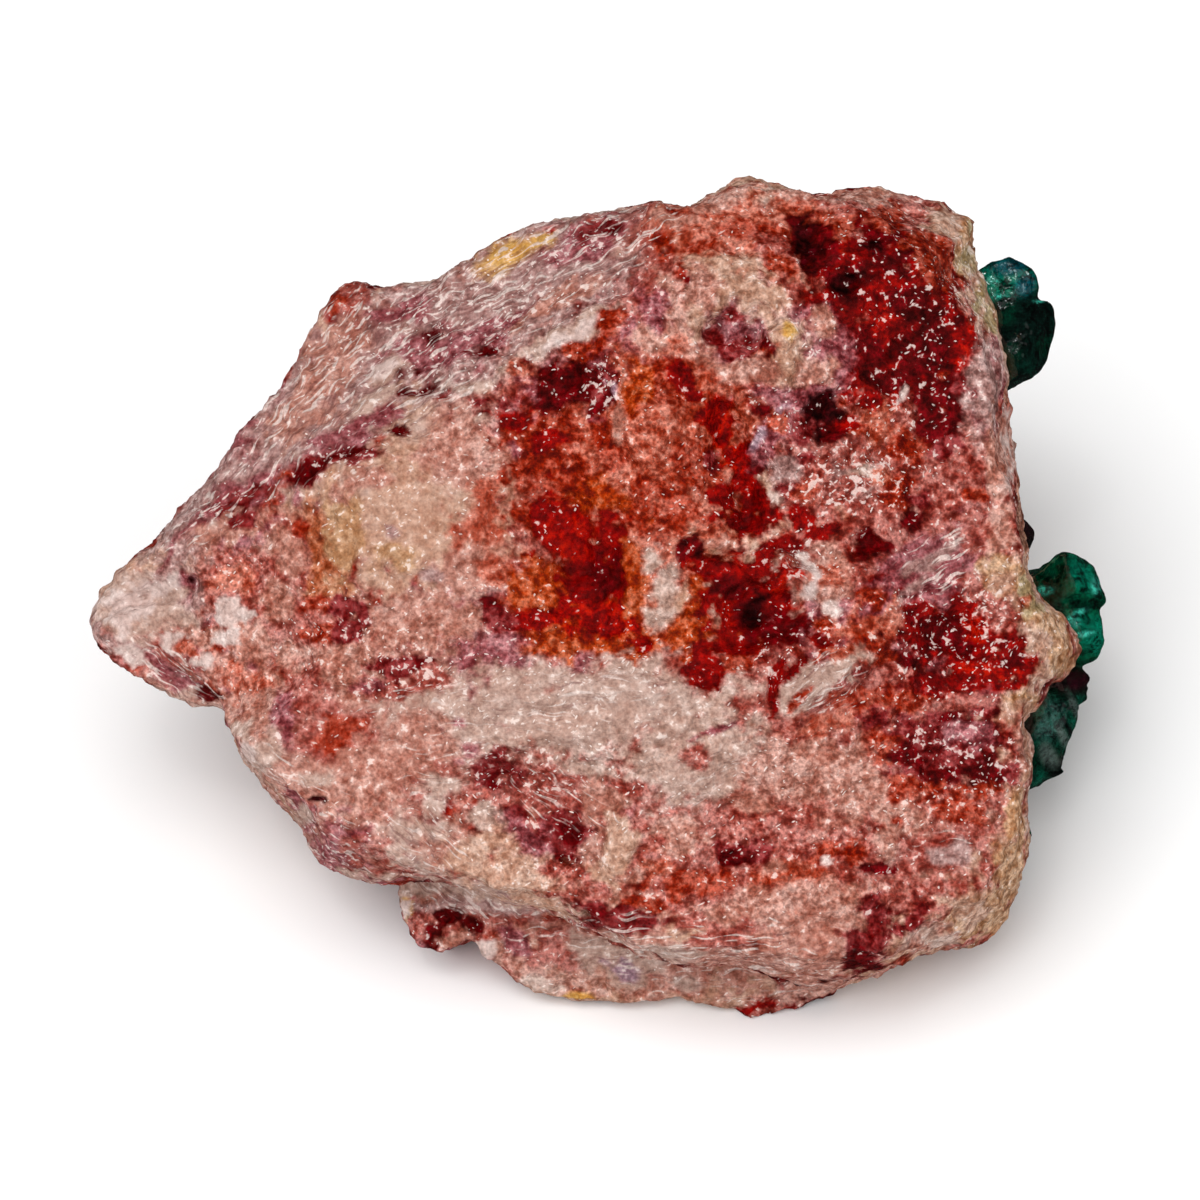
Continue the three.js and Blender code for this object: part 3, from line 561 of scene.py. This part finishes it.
# Patches of the rock's own on the sides that the photograph doesn't show.
patches = clouds(place_mm, 11.0, 3, 4.0)
blotches = clouds(place_mm, 5.0, 3, 17.0)
veins = clouds(place_mm, 7.0, 3, 31.0)
hidden = 1 - seen
crust_side = ramp(outward[:, 0], 0.3, 0.62) * ramp(place_mm[:, 0], 12.5, 16.0)
ragged = 0.5 * clouds(place_mm, 1.1, 4, 71.0) + 0.22 * clouds(place_mm, 0.42, 2, 75.0)


def srgb(code):
    parts = [int(code[i:i + 2], 16) / 255 for i in (1, 3, 5)]
    return [c / 12.92 if c <= 0.04045 else ((c + 0.055) / 1.055) ** 2.4 for c in parts] + [1.0]


tint_and_painted_light = np.tile(np.array(srgb(TINTS["rose"])), (rock_count, 1))


def stain(name, cover):
    tint_and_painted_light[:] += (np.array(srgb(TINTS[name])) - tint_and_painted_light) * np.clip(cover, 0, 1)[:, None]


stain("ash", ramp(veins, 0.05, 0.3))
stain("cream", ramp(patches + 0.5 * blotches, 0.1, 0.35))
stain("mauve", ramp(-patches + 0.4 * veins, 0.1, 0.3))
stain("brick", ramp(blotches - 0.3 * patches, 0.1, 0.3))
stain("red", ramp(blotches - 0.6 * veins - 0.4 * patches, 0.25, 0.45))
stain("maroon", ramp(blotches - 0.8 * veins - 0.5 * patches, 0.42, 0.6))
for name, dabs in STAINS:
    start, full = (0.3, 0.62) if name in IRON_TINTS else (0.18, 0.74)
    for x, y, across, along, turn in dabs:
        cover = stroke(x, y, across, along, turn)
        stain(name, ramp(cover + ragged, start, full) * (cover > 0.04) * seen)
stain("tan", crust_side * hidden)
stain("cream", crust_side * hidden * ramp(blotches + 0.5 * ragged, 0.0, 0.3))
stain("grey", crust_side * hidden * ramp(veins - 0.5 * ragged, 0.15, 0.4))

# How often white flecks, white quartz and painted glints, are laid on the stone.
grains_and_painted_glints = painted(GRAINS_AND_PAINTED_GLINTS, 0.15) + hidden * 0.2
even = painted(EVEN, 0.0)
fibres = {flow: painted(places, 0.0) for flow, (turn, shift, places) in FIBRES.items()}
fibres["up_right"] += hidden * ramp(veins, 0.0, 0.4) * 0.6


def fibre_grid(turn, long, short):
    """Coordinates stretched along one direction of the broad face, for the stone's fibres."""
    turn = math.radians(turn)
    along = face_u * math.cos(turn) + face_v * math.sin(turn)
    across = -face_u * math.sin(turn) + face_v * math.cos(turn)
    return np.stack([along / long, across / short, face_w / (2.2 * short)], axis=1)


ribs = sum(
    fibres[flow] * clouds(fibre_grid(turn, 3.2, 0.55), 1.0, 2, shift)
    for flow, (turn, shift, places) in FIBRES.items()
)
lumps = clouds(place_mm, 3.0, 4, 8.0)
crags = np.abs(clouds(place_mm, 1.7, 4, 12.0))
grains = clouds(place_mm, 0.6, 3, 25.0)
rounded = np.array([noise.voronoi(Vector(p) / 0.85)[0][0] for p in place_mm])
fibred = np.clip(sum(fibres.values()), 0, 1)
rise = 0.24 * lumps - 0.3 * (crags - 0.15) + 0.2 * ribs - (0.16 + 0.08 * grains_and_painted_glints) * (rounded - 0.4)
rise += 0.08 * grains * (1 - 0.4 * fibred) + 0.2 * crust_side * hidden * clouds(place_mm, 1.4, 3, 40.0)

# The underside stays level where it rests, with shallow chips in it.
underside = (place_mm[:, 2] < 0.12) & (outward[:, 2] < -0.6)
rise[underside] = -np.abs(0.22 * lumps[underside] + 0.08 * grains[underside])

moved = place_mm + outward * rise[:, None]
moved += np.array(FACE_OUT) * added(RELIEF)[:, None]
moved[:, 2] = np.maximum(moved[:, 2], 0.0)

# The crust closes round the feet of the crystals.
feet = bmesh.new()
for name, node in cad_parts.items():
    if name != "matrix_rock":
        feet.from_mesh(node.data)
feet_tree = BVHTree.FromBMesh(feet)
feet.free()
CRUST_STARTS = 12
FEET_REACH = 0.9
for i in np.nonzero(place_mm[:, 0] > CRUST_STARTS)[0]:
    hit, normal, face, distance = feet_tree.find_nearest(Vector(place[i]), FEET_REACH * MM)
    if hit is not None:
        close = 1 - ramp(distance / MM, 0.35, 0.85)
        moved[i] += outward[i] * (0.4 - 0.8 * rise[i]) * close

rock.data.vertices.foreach_set("co", (moved * MM).ravel())
rock.data.update()
rock.data.polygons.foreach_set("use_smooth", [True] * len(rock.data.polygons))

amounts = {"grains_and_painted_glints": grains_and_painted_glints, "fibred": fibred, "even": even, **fibres}
for name, amount in amounts.items():
    layer = rock.data.attributes.new(name, "FLOAT", "POINT")
    layer.data.foreach_set("value", np.clip(amount, 0, 1).astype(np.float32))

tint_layer = rock.data.attributes.new("tint_and_painted_light", "FLOAT_COLOR", "POINT")
tint_layer.data.foreach_set("color", np.clip(tint_and_painted_light, 0, 1).astype(np.float32).ravel())


class Finish:
    """A material's node tree, with short names for the few kinds of node that are used here."""

    def __init__(self, name):
        self.material = bpy.data.materials.new(name)
        self.material.use_nodes = True
        self.tree = self.material.node_tree
        self.shader = self.tree.nodes["Principled BSDF"]
        self.output = self.tree.nodes["Material Output"]
        self.coords = self.tree.nodes.new("ShaderNodeTexCoord").outputs["Object"]

    def set(self, socket, value):
        if isinstance(value, bpy.types.NodeSocket):
            self.tree.links.new(value, socket)
        else:
            socket.default_value = value

    def node(self, kind, inputs, **settings):
        made = self.tree.nodes.new("ShaderNode" + kind)
        for name, value in settings.items():
            setattr(made, name, value)
        for name, value in inputs.items():
            self.set(made.inputs[name], value)
        return made.outputs

    def attribute(self, name, output="Fac"):
        return self.node("Attribute", {}, attribute_name=name)[output]

    def math(self, kind, a, b=0.0, c=0.0):
        return self.node("Math", {0: a, 1: b, 2: c}, operation=kind)[0]

    def mapping(self, turn, scale, vector):
        inputs = {"Vector": vector, "Rotation": turn, "Scale": scale}
        return self.node("Mapping", inputs, vector_type="TEXTURE")[0]

    def pattern(self, kind, size_mm, vector, **inputs):
        """A noise or cell texture on the object's metres, or on a vector in units of its own."""
        scale = 1 / (size_mm * MM) if vector is None else 1 / size_mm
        return self.node(kind, {"Vector": vector or self.coords, "Scale": scale, **inputs})

    def noise(self, size_mm, detail, rough, vector=None, distortion=0.0):
        settings = {"Detail": detail, "Roughness": rough, "Distortion": distortion}
        return self.pattern("TexNoise", size_mm, vector, **settings)["Fac"]

    def cells(self, size_mm, vector=None):
        return self.pattern("TexVoronoi", size_mm, vector)

    def step(self, value, low, high):
        inputs = {0: value, 1: low, 2: high, 3: 0.0, 4: 1.0}
        return self.node("MapRange", inputs, interpolation_type="SMOOTHSTEP")[0]

    def mix(self, factor, a, b):
        return self.node("Mix", {"Factor": factor, "A": a, "B": b}, data_type="RGBA")["Result"]

    def times(self, *values):
        result = values[0]
        for value in values[1:]:
            result = self.math("MULTIPLY", result, value)
        return result

    def total(self, *values):
        result = values[0]
        for value in values[1:]:
            result = self.math("ADD", result, value)
        return result

    def scaled(self, value, gain, base):
        return self.math("MULTIPLY_ADD", value, gain, base)

    def centred(self, value, gain):
        return self.times(self.math("SUBTRACT", value, 0.5), gain)

    def bump(self, height, distance_mm, strength, under=None):
        inputs = {"Height": height, "Distance": distance_mm * MM, "Strength": strength}
        if under is not None:
            inputs["Normal"] = under
        return self.node("Bump", inputs)[0]


# The stone's finish: its tints, mottled by clouds and by grains of quartz.
stone = Finish("iron-stained quartz")
coarse = stone.noise(2.0, 3, 0.65)
fine = stone.noise(0.5, 2, 0.62)
grit = stone.noise(0.17, 1, 0.6)
quartz_grains = stone.cells(0.42)
grain = quartz_grains["Distance"]
grain_tones = stone.node("SeparateColor", {0: quartz_grains["Color"]})
tinted = stone.attribute("tint_and_painted_light", "Color")
lightness = stone.node("RGBToBW", {0: tinted})[0]

# Pale, very dark, fibrous and even stone is less mottled than the rest.
unrest = stone.times(
    stone.math("SUBTRACT", 1.0, stone.times(stone.step(lightness, 0.12, 0.5), 0.55)),
    stone.scaled(stone.step(lightness, 0.02, 0.1), 0.4, 0.6),
    stone.scaled(stone.attribute("fibred"), -0.45, 1.0),
    stone.scaled(stone.attribute("even"), -0.45, 1.0),
)
mottle = stone.times(
    stone.total(
        stone.centred(coarse, 2.3), stone.centred(fine, 1.9), stone.centred(grain_tones[0], 0.35)
    ),
    unrest,
)

# Fibres: noise drawn out along four directions of the broad face, and bent a little.
BEND = 0.7 * MM
wobble = stone.node(
    "TexNoise", {"Vector": stone.coords, "Scale": 1 / (1.1 * MM), "Detail": 0.0})["Color"]
bent = stone.node(
    "VectorMath", {0: wobble, 1: (BEND,) * 3, 2: stone.coords}, operation="MULTIPLY_ADD")[0]


def drawn_out(turn, along, across, deep):
    """The bent coordinates, turned on the broad face and stretched there, in millimetres."""
    lean = Matrix.Rotation(math.pi / 2 - FACE_ELEVATION, 3, "X")
    axes = lean @ Matrix.Rotation(math.radians(turn), 3, "Z")
    return stone.mapping(tuple(axes.to_euler()), (along * MM, across * MM, deep * MM), bent)


fibre = stone.total(*(
    stone.times(
        stone.centred(stone.noise(1.0, 1, 0.6, drawn_out(turn, 2.0, 0.2, 0.6)), 1.0),
        stone.attribute(flow),
    )
    for flow, (turn, shift, places) in FIBRES.items()
))
light_fibre = stone.step(fibre, 0.05, 0.15)
dark_fibre = stone.step(fibre, -0.05, -0.15)
light_cover = stone.scaled(stone.step(lightness, 0.015, 0.09), 0.5, 0.25)

DEEPEST = 0.74
BRIGHTNESS = 0.79
DARKEST = 0.5
colour = stone.node("Gamma", {
    "Color": tinted, "Gamma": stone.math("MAXIMUM", stone.math("SUBTRACT", 1.0, mottle), DEEPEST),
})[0]
colour = stone.mix(stone.times(light_fibre, light_cover), colour, srgb("#e6d2ca"))
colour = stone.mix(stone.times(dark_fibre, 0.45), colour, srgb("#6e3c3c"))
grime = stone.total(stone.centred(grit, 1.9), stone.centred(fine, 1.7))
colour = stone.node("HueSaturation", {
    "Color": colour, "Saturation": 1.05,
    "Value": stone.math("MAXIMUM", stone.scaled(grime, unrest, BRIGHTNESS), DARKEST),
})[0]


# White flecks, partly white quartz and partly painted glints: bright grains and short dashes that lie
# two ways, and broken rims of clear quartz round other grains.
def dashes(turn, along, across):
    rarity = 0.985
    cell = stone.cells(1.0, drawn_out(turn, along, across, across))
    pick = stone.node("SeparateColor", {0: cell["Color"]})
    chance = stone.total(
        pick[0], stone.times(stone.attribute("grains_and_painted_glints"), 0.16), stone.centred(coarse, 0.35))
    lit = stone.step(chance, rarity, rarity + 0.03)
    near = stone.math("SUBTRACT", 1.0, stone.step(cell["Distance"], 0.26, 0.42))
    return stone.times(lit, near, stone.scaled(pick[1], 0.5, 0.5))


rim_line = stone.step(grain, 0.5, 0.62)
rim_room = stone.step(
    stone.total(stone.times(stone.attribute("grains_and_painted_glints"), 0.22), stone.centred(fine, 1.3)), 0.2, 0.3)
fleck = stone.math("MAXIMUM", dashes(38, 0.4, 0.13), dashes(-30, 0.26, 0.13))
fleck = stone.math("MAXIMUM", fleck, stone.times(rim_line, rim_room, 0.7))
# The flecks are painted into the colour: white quartz and painted glints.
colour = stone.mix(stone.times(fleck, 0.8), colour, srgb("#ecdcd4"))
stone.set(stone.shader.inputs["Base Color"], colour)
stone.set(stone.shader.inputs["Roughness"], stone.scaled(grain_tones[2], 0.3, 0.42))
stone.shader.inputs["Specular IOR Level"].default_value = 0.08
relief = stone.total(stone.times(grain, 0.3), stone.times(fine, unrest), stone.times(grit, 0.3))
stone.set(stone.shader.inputs["Normal"], stone.bump(relief, 0.2, 0.8))
rock.data.materials.clear()
rock.data.materials.append(stone.material)
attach(rock, "root")
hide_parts("matrix_rock")

# The dioptase: stout six-sided prisms with three rhombic faces at each end, grown in groups on the
# crust. They are clear and deep green, nearly black where the light has far to go, with glassy faces
# that are stepped by their growth and with corners blunted by small extra faces.
def dioptase(name, density):
    finish = Finish(name)
    swirl = finish.noise(0.8, 4, 0.6, distortion=1.2)
    flaws = finish.noise(0.26, 3, 0.65, distortion=1.5)
    depth = finish.scaled(finish.math("SUBTRACT", swirl, 0.5), 6.0, 0.95)
    depth = finish.scaled(finish.math("SUBTRACT", flaws, 0.5), 4.5, depth)
    # The base colour carries the crystals' green body tones together with their painted light and
    # shade, swirled darker and lighter at random.
    tone_and_painted_light = finish.node("HueSaturation", {
        "Color": finish.attribute("tint_and_painted_light", "Color"), "Value": finish.math("MAXIMUM", depth, 0.12),
    })[0]
    finish.set(finish.shader.inputs["Base Color"], tone_and_painted_light)
    finish.shader.inputs["Roughness"].default_value = 0.07
    finish.shader.inputs["IOR"].default_value = 1.67
    finish.shader.inputs["Transmission Weight"].default_value = 0.75
    inside = finish.node("VolumeAbsorption", {"Color": (0.0, 0.77, 0.68, 1), "Density": density})
    finish.tree.links.new(inside[0], finish.output.inputs["Volume"])
    growth = finish.bump(finish.noise(0.9, 3, 0.55, distortion=0.8), 0.2, 0.4)
    surface = finish.bump(finish.cells(0.35)["Distance"], 0.02, 0.4, growth)
    finish.set(finish.shader.inputs["Normal"], surface)
    return finish.material


deep_green = dioptase("deep dioptase", 4200)
bright_green = dioptase("bright dioptase", 2400)

# How worn the corners of each group are, in passes of smoothing, and its green.
CRYSTALS = {
    "upper_crystals": (50, deep_green), "rim_crystal": (30, deep_green),
    "lower_crystals": (5, bright_green), "back_crystals": (8, deep_green),
    "low_back_crystals": (8, bright_green), "upper_back_crystals": (8, deep_green),
    "low_side_crystals": (8, bright_green), "foot_crystal": (8, bright_green),
}
# Where the blunted corners bulge or draw in, as the photograph shows them: x, y and reach in pixels,
# then the push to the right and up in millimetres.
BULGES = [
    (984, 268, 14, -0.1, 0.45), (1028, 276, 12, 0.32, 0.3), (1042, 298, 6, -0.25, -0.2),
    (1053, 306, 9, 0.2, 0.35), (1062, 324, 8, -0.2, 0.0), (1038, 376, 14, 0.1, -0.45),
    (1004, 384, 14, 0.0, -0.45), (1062, 774, 10, 0.35, -0.1), (1110, 637, 8, -0.25, 0.0),
    (1096, 664, 9, 0.2, -0.1), (1104, 612, 6, 0.1, 0.0),
]
# The crystals' shades: green body tones, and light and shade painted into their colour (painted
# highlights, a painted reflection, painted sheens, painted dark shade), then where each is laid: x, y,
# half sizes in pixels, turn.
CRYSTAL_TONES_AND_LIGHT = {
    "wine": (0.05, 0.004, 0.012), "black": (0.003, 0.02, 0.014), "forest": (0.0, 0.06, 0.03),
    "emerald": (0.0, 0.2, 0.09), "teal": (0.0, 0.34, 0.2), "painted_reflection": (0.0, 0.13, 0.17),
    "bright": (0.1, 1.0, 0.75), "painted_face_sheen": (0.06, 0.27, 0.22), "painted_sheen": (0.17, 0.25, 0.22),
}
TONES_AND_PAINTED_LIGHT = [
    # upper group: a dark ground of painted shade, with painted lit faces at its upper left
    ("black", [(1015, 325, 90, 75, 0)]),
    ("teal", [(1003, 284, 32, 16, 10), (988, 300, 18, 12, 0)]),
    # a painted blue-green reflection
    ("painted_reflection", [(1010, 270, 20, 9, 15), (1022, 288, 10, 10, 0)]),
    ("forest", [(1004, 312, 12, 14, 0), (1012, 352, 10, 9, 0), (1046, 345, 10, 10, 0)]),
    # painted highlights
    ("bright", [(994, 284, 5, 3, 0), (1000, 297, 8, 2, 0), (1042, 301, 8, 3, 0)]),
    # rim crystal: painted dark shade, reddish
    ("wine", [(1024, 540, 20, 36, 0)]),
    # lower lumps: emerald body, with painted darker and lit patches and painted highlights
    ("emerald", [(1070, 612, 60, 66, 0)]),
    ("forest", [(1052, 590, 15, 26, -20), (1085, 604, 18, 6, 0), (1066, 575, 12, 9, 0)]),
    ("teal", [(1082, 575, 12, 18, 30), (1096, 636, 16, 20, 0), (1082, 622, 10, 8, 0)]),
    ("bright", [
        (1096, 586, 5, 9, 0), (1072, 622, 8, 6, 0), (1044, 590, 9, 4, 0), (1084, 634, 12, 3, 10),
        (1080, 612, 9, 3, 20), (1042, 592, 7, 4, 0), (1050, 558, 5, 4, 0),
    ]),
    ("emerald", [(1088, 660, 14, 8, 0)]),
    # lowest prism: a painted sheen on its rhombic face, painted dark shade, partly reddish, on its top
    # and foot
    ("painted_face_sheen", [(1048, 716, 17, 26, 0), (1034, 706, 12, 14, 0)]),
    ("black", [(1068, 680, 34, 18, 0)]),
    ("wine", [(1068, 680, 28, 13, 0), (1027, 722, 7, 18, -10), (1062, 772, 14, 16, 0)]),
    # painted sheens on its narrow faces, with painted dark shade between and below them
    ("painted_sheen", [(1076, 710, 4, 22, 24), (1064, 738, 5, 20, 26), (1048, 756, 8, 14, 20)]),
    ("black", [(1068, 728, 3, 24, 26), (1060, 775, 15, 12, 0), (1024, 728, 6, 16, -10)]),
]
CRYSTAL_VOXEL = 0.08 * MM
LUMPS_ABOVE = 7.4 * MM
LUMPS_PASSES = 110
for crystal_node, (passes, green) in CRYSTALS.items():
    crystals = merged_copy(crystal_node, crystal_node.replace("crystal", "dioptase"))
    skin = crystals.modifiers.new("fine skin", "REMESH")
    skin.mode = "VOXEL"
    skin.voxel_size = CRYSTAL_VOXEL
    wear = crystals.modifiers.new("blunted corners", "SMOOTH")
    wear.factor = 0.5
    wear.iterations = passes
    settle_modifiers(crystals)
    if crystal_node == "lower_crystals":
        # The emerald lumps halfway up are intergrown, and rounder than the prism below them.
        upper = [v.index for v in crystals.data.vertices if v.co.z > LUMPS_ABOVE]
        crystals.vertex_groups.new(name="rounded lumps").add(upper, 1.0, "REPLACE")
        wear = crystals.modifiers.new("rounded lumps", "SMOOTH")
        wear.factor = 0.5
        wear.iterations = LUMPS_PASSES
        wear.vertex_group = "rounded lumps"
        settle_modifiers(crystals)
        crystals.vertex_groups.clear()
    spots = []
    tones_and_light = []
    for vertex in crystals.data.vertices:
        point = vertex.co / MM
        terrace = noise.fractal(point / 1.5 + Vector((3, 1, 7)), 0.8, 2.0, 3) * 4
        shelf = math.floor(terrace) + min(1, (terrace - math.floor(terrace)) * 4)
        spot = vertex.co + vertex.normal * (0.025 * shelf + 0.02 * noise.noise(point / 0.6)) * MM
        beside = spot - face_middle
        scale = EYE_DISTANCE / (EYE_DISTANCE - beside.dot(FACE_OUT)) / PIXEL
        x, y = 600 + beside.dot(FACE_RIGHT) * scale, 600 - beside.dot(FACE_UP) * scale
        for bulge_x, bulge_y, reach, right, up in BULGES:
            share = math.exp(-((x - bulge_x) ** 2 + (y - bulge_y) ** 2) / (2 * reach * reach))
            if share > 0.01:
                spot += (FACE_RIGHT * right + FACE_UP * up) * share * MM
        lightness = min(1, max(0, 0.5 + noise.noise(point / 1.6)))
        tone_and_light = Vector(CRYSTAL_TONES_AND_LIGHT["forest"]).lerp(Vector(CRYSTAL_TONES_AND_LIGHT["teal"]), lightness * lightness)
        # On the side towards the broad face, painted highlights, reflections, sheens and shade are laid
        # over the green body tones.
        if vertex.normal.dot(FACE_OUT) > -0.1:
            for name, dabs in TONES_AND_PAINTED_LIGHT:
                for dab_x, dab_y, across, along, turn in dabs:
                    turn = math.radians(turn)
                    p = ((x - dab_x) * math.cos(turn) - (y - dab_y) * math.sin(turn)) / across
                    q = ((x - dab_x) * math.sin(turn) + (y - dab_y) * math.cos(turn)) / along
                    tone_and_light = tone_and_light.lerp(Vector(CRYSTAL_TONES_AND_LIGHT[name]), math.exp(-((p * p + q * q) ** 2)))
        spots.extend(spot)
        tones_and_light.extend((*tone_and_light, 1.0))
    crystals.data.vertices.foreach_set("co", spots)
    crystals.data.polygons.foreach_set("use_smooth", [True] * len(crystals.data.polygons))
    layer = crystals.data.attributes.new("tint_and_painted_light", "FLOAT_COLOR", "POINT")
    layer.data.foreach_set("color", tones_and_light)
    crystals.data.materials.clear()
    crystals.data.materials.append(green)
    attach(crystals, "root")
    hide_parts(crystal_node)

# The table and the light: a plain white table top that the stone lies on, under a wide, soft light
# from above and in front, with three small windows that only the glassy faces mirror.
table = bmesh.new()
bmesh.ops.create_grid(table, x_segments=1, y_segments=1, size=2.0)
table_mesh = bpy.data.meshes.new("table")
table.to_mesh(table_mesh)
table.free()
table_top = bpy.data.objects.new("table", table_mesh)
bpy.context.scene.collection.objects.link(table_top)
table_finish = Finish("white table")
table_finish.shader.inputs["Base Color"].default_value = (0.9, 0.9, 0.9, 1)
table_finish.shader.inputs["Roughness"].default_value = 0.9
table_mesh.materials.append(table_finish.material)
table_top.visible_glossy = False


def sky_light(name, strength, width, azimuth, elevation, mirrored):
    data = bpy.data.lights.new(name, "SUN")
    data.energy = strength
    data.angle = math.radians(width)
    lamp = bpy.data.objects.new(name, data)
    a, e = math.radians(azimuth), math.radians(elevation)
    toward = Vector((math.sin(a) * math.cos(e), -math.cos(a) * math.cos(e), math.sin(e)))
    lamp.rotation_euler = toward.to_track_quat("Z", "Y").to_euler()
    lamp.visible_glossy = mirrored
    bpy.context.scene.collection.objects.link(lamp)


sky_light("key", 2.3, 50, -48, 66, False)
sky_light("front fill", 0.9, 90, 10, 38, False)
sky_light("side fill", 0.5, 90, 70, 50, False)
sky_light("window", 0.12, 7, -30, 70, True)
sky_light("right window", 0.05, 30, 71, 46, True)
sky_light("top window", 0.04, 24, -8, 76, True)
ROOM_GLOW = 0.27
CARD_GLOW = 0.015
world = bpy.data.worlds.new("studio")
world.use_nodes = True
world.node_tree.nodes["Background"].inputs["Color"].default_value = (1, 1, 1, 1)
# Dark cards round the crystals: what they mirror is dim, while what shines through them isn't.
rays = world.node_tree.nodes.new("ShaderNodeLightPath")
through = world.node_tree.nodes.new("ShaderNodeMath")
through.operation = "SUBTRACT"
world.node_tree.links.new(rays.outputs["Is Glossy Ray"], through.inputs[0])
world.node_tree.links.new(rays.outputs["Is Transmission Ray"], through.inputs[1])
cards = world.node_tree.nodes.new("ShaderNodeMapRange")
world.node_tree.links.new(through.outputs[0], cards.inputs["Value"])
cards.inputs["To Min"].default_value = ROOM_GLOW
cards.inputs["To Max"].default_value = CARD_GLOW
world.node_tree.links.new(cards.outputs[0], world.node_tree.nodes["Background"].inputs["Strength"])
bpy.context.scene.world = world
bpy.context.scene.view_settings.view_transform = "Standard"
bpy.context.scene.view_settings.look = "None"

# The camera looks down square at the broad face, from the side that the photograph was taken from,
# and through a long lens, so that the specimen keeps its outline.
lens = bpy.data.cameras.new("camera")
lens.lens = 300
lens.sensor_width = 36
lens.clip_start = 0.01
camera = bpy.data.objects.new("camera", lens)
camera.location = face_middle + FACE_OUT * EYE_DISTANCE
camera.rotation_euler = FACE_OUT.to_track_quat("Z", "Y").to_euler()
bpy.context.scene.collection.objects.link(camera)
bpy.context.scene.camera = camera
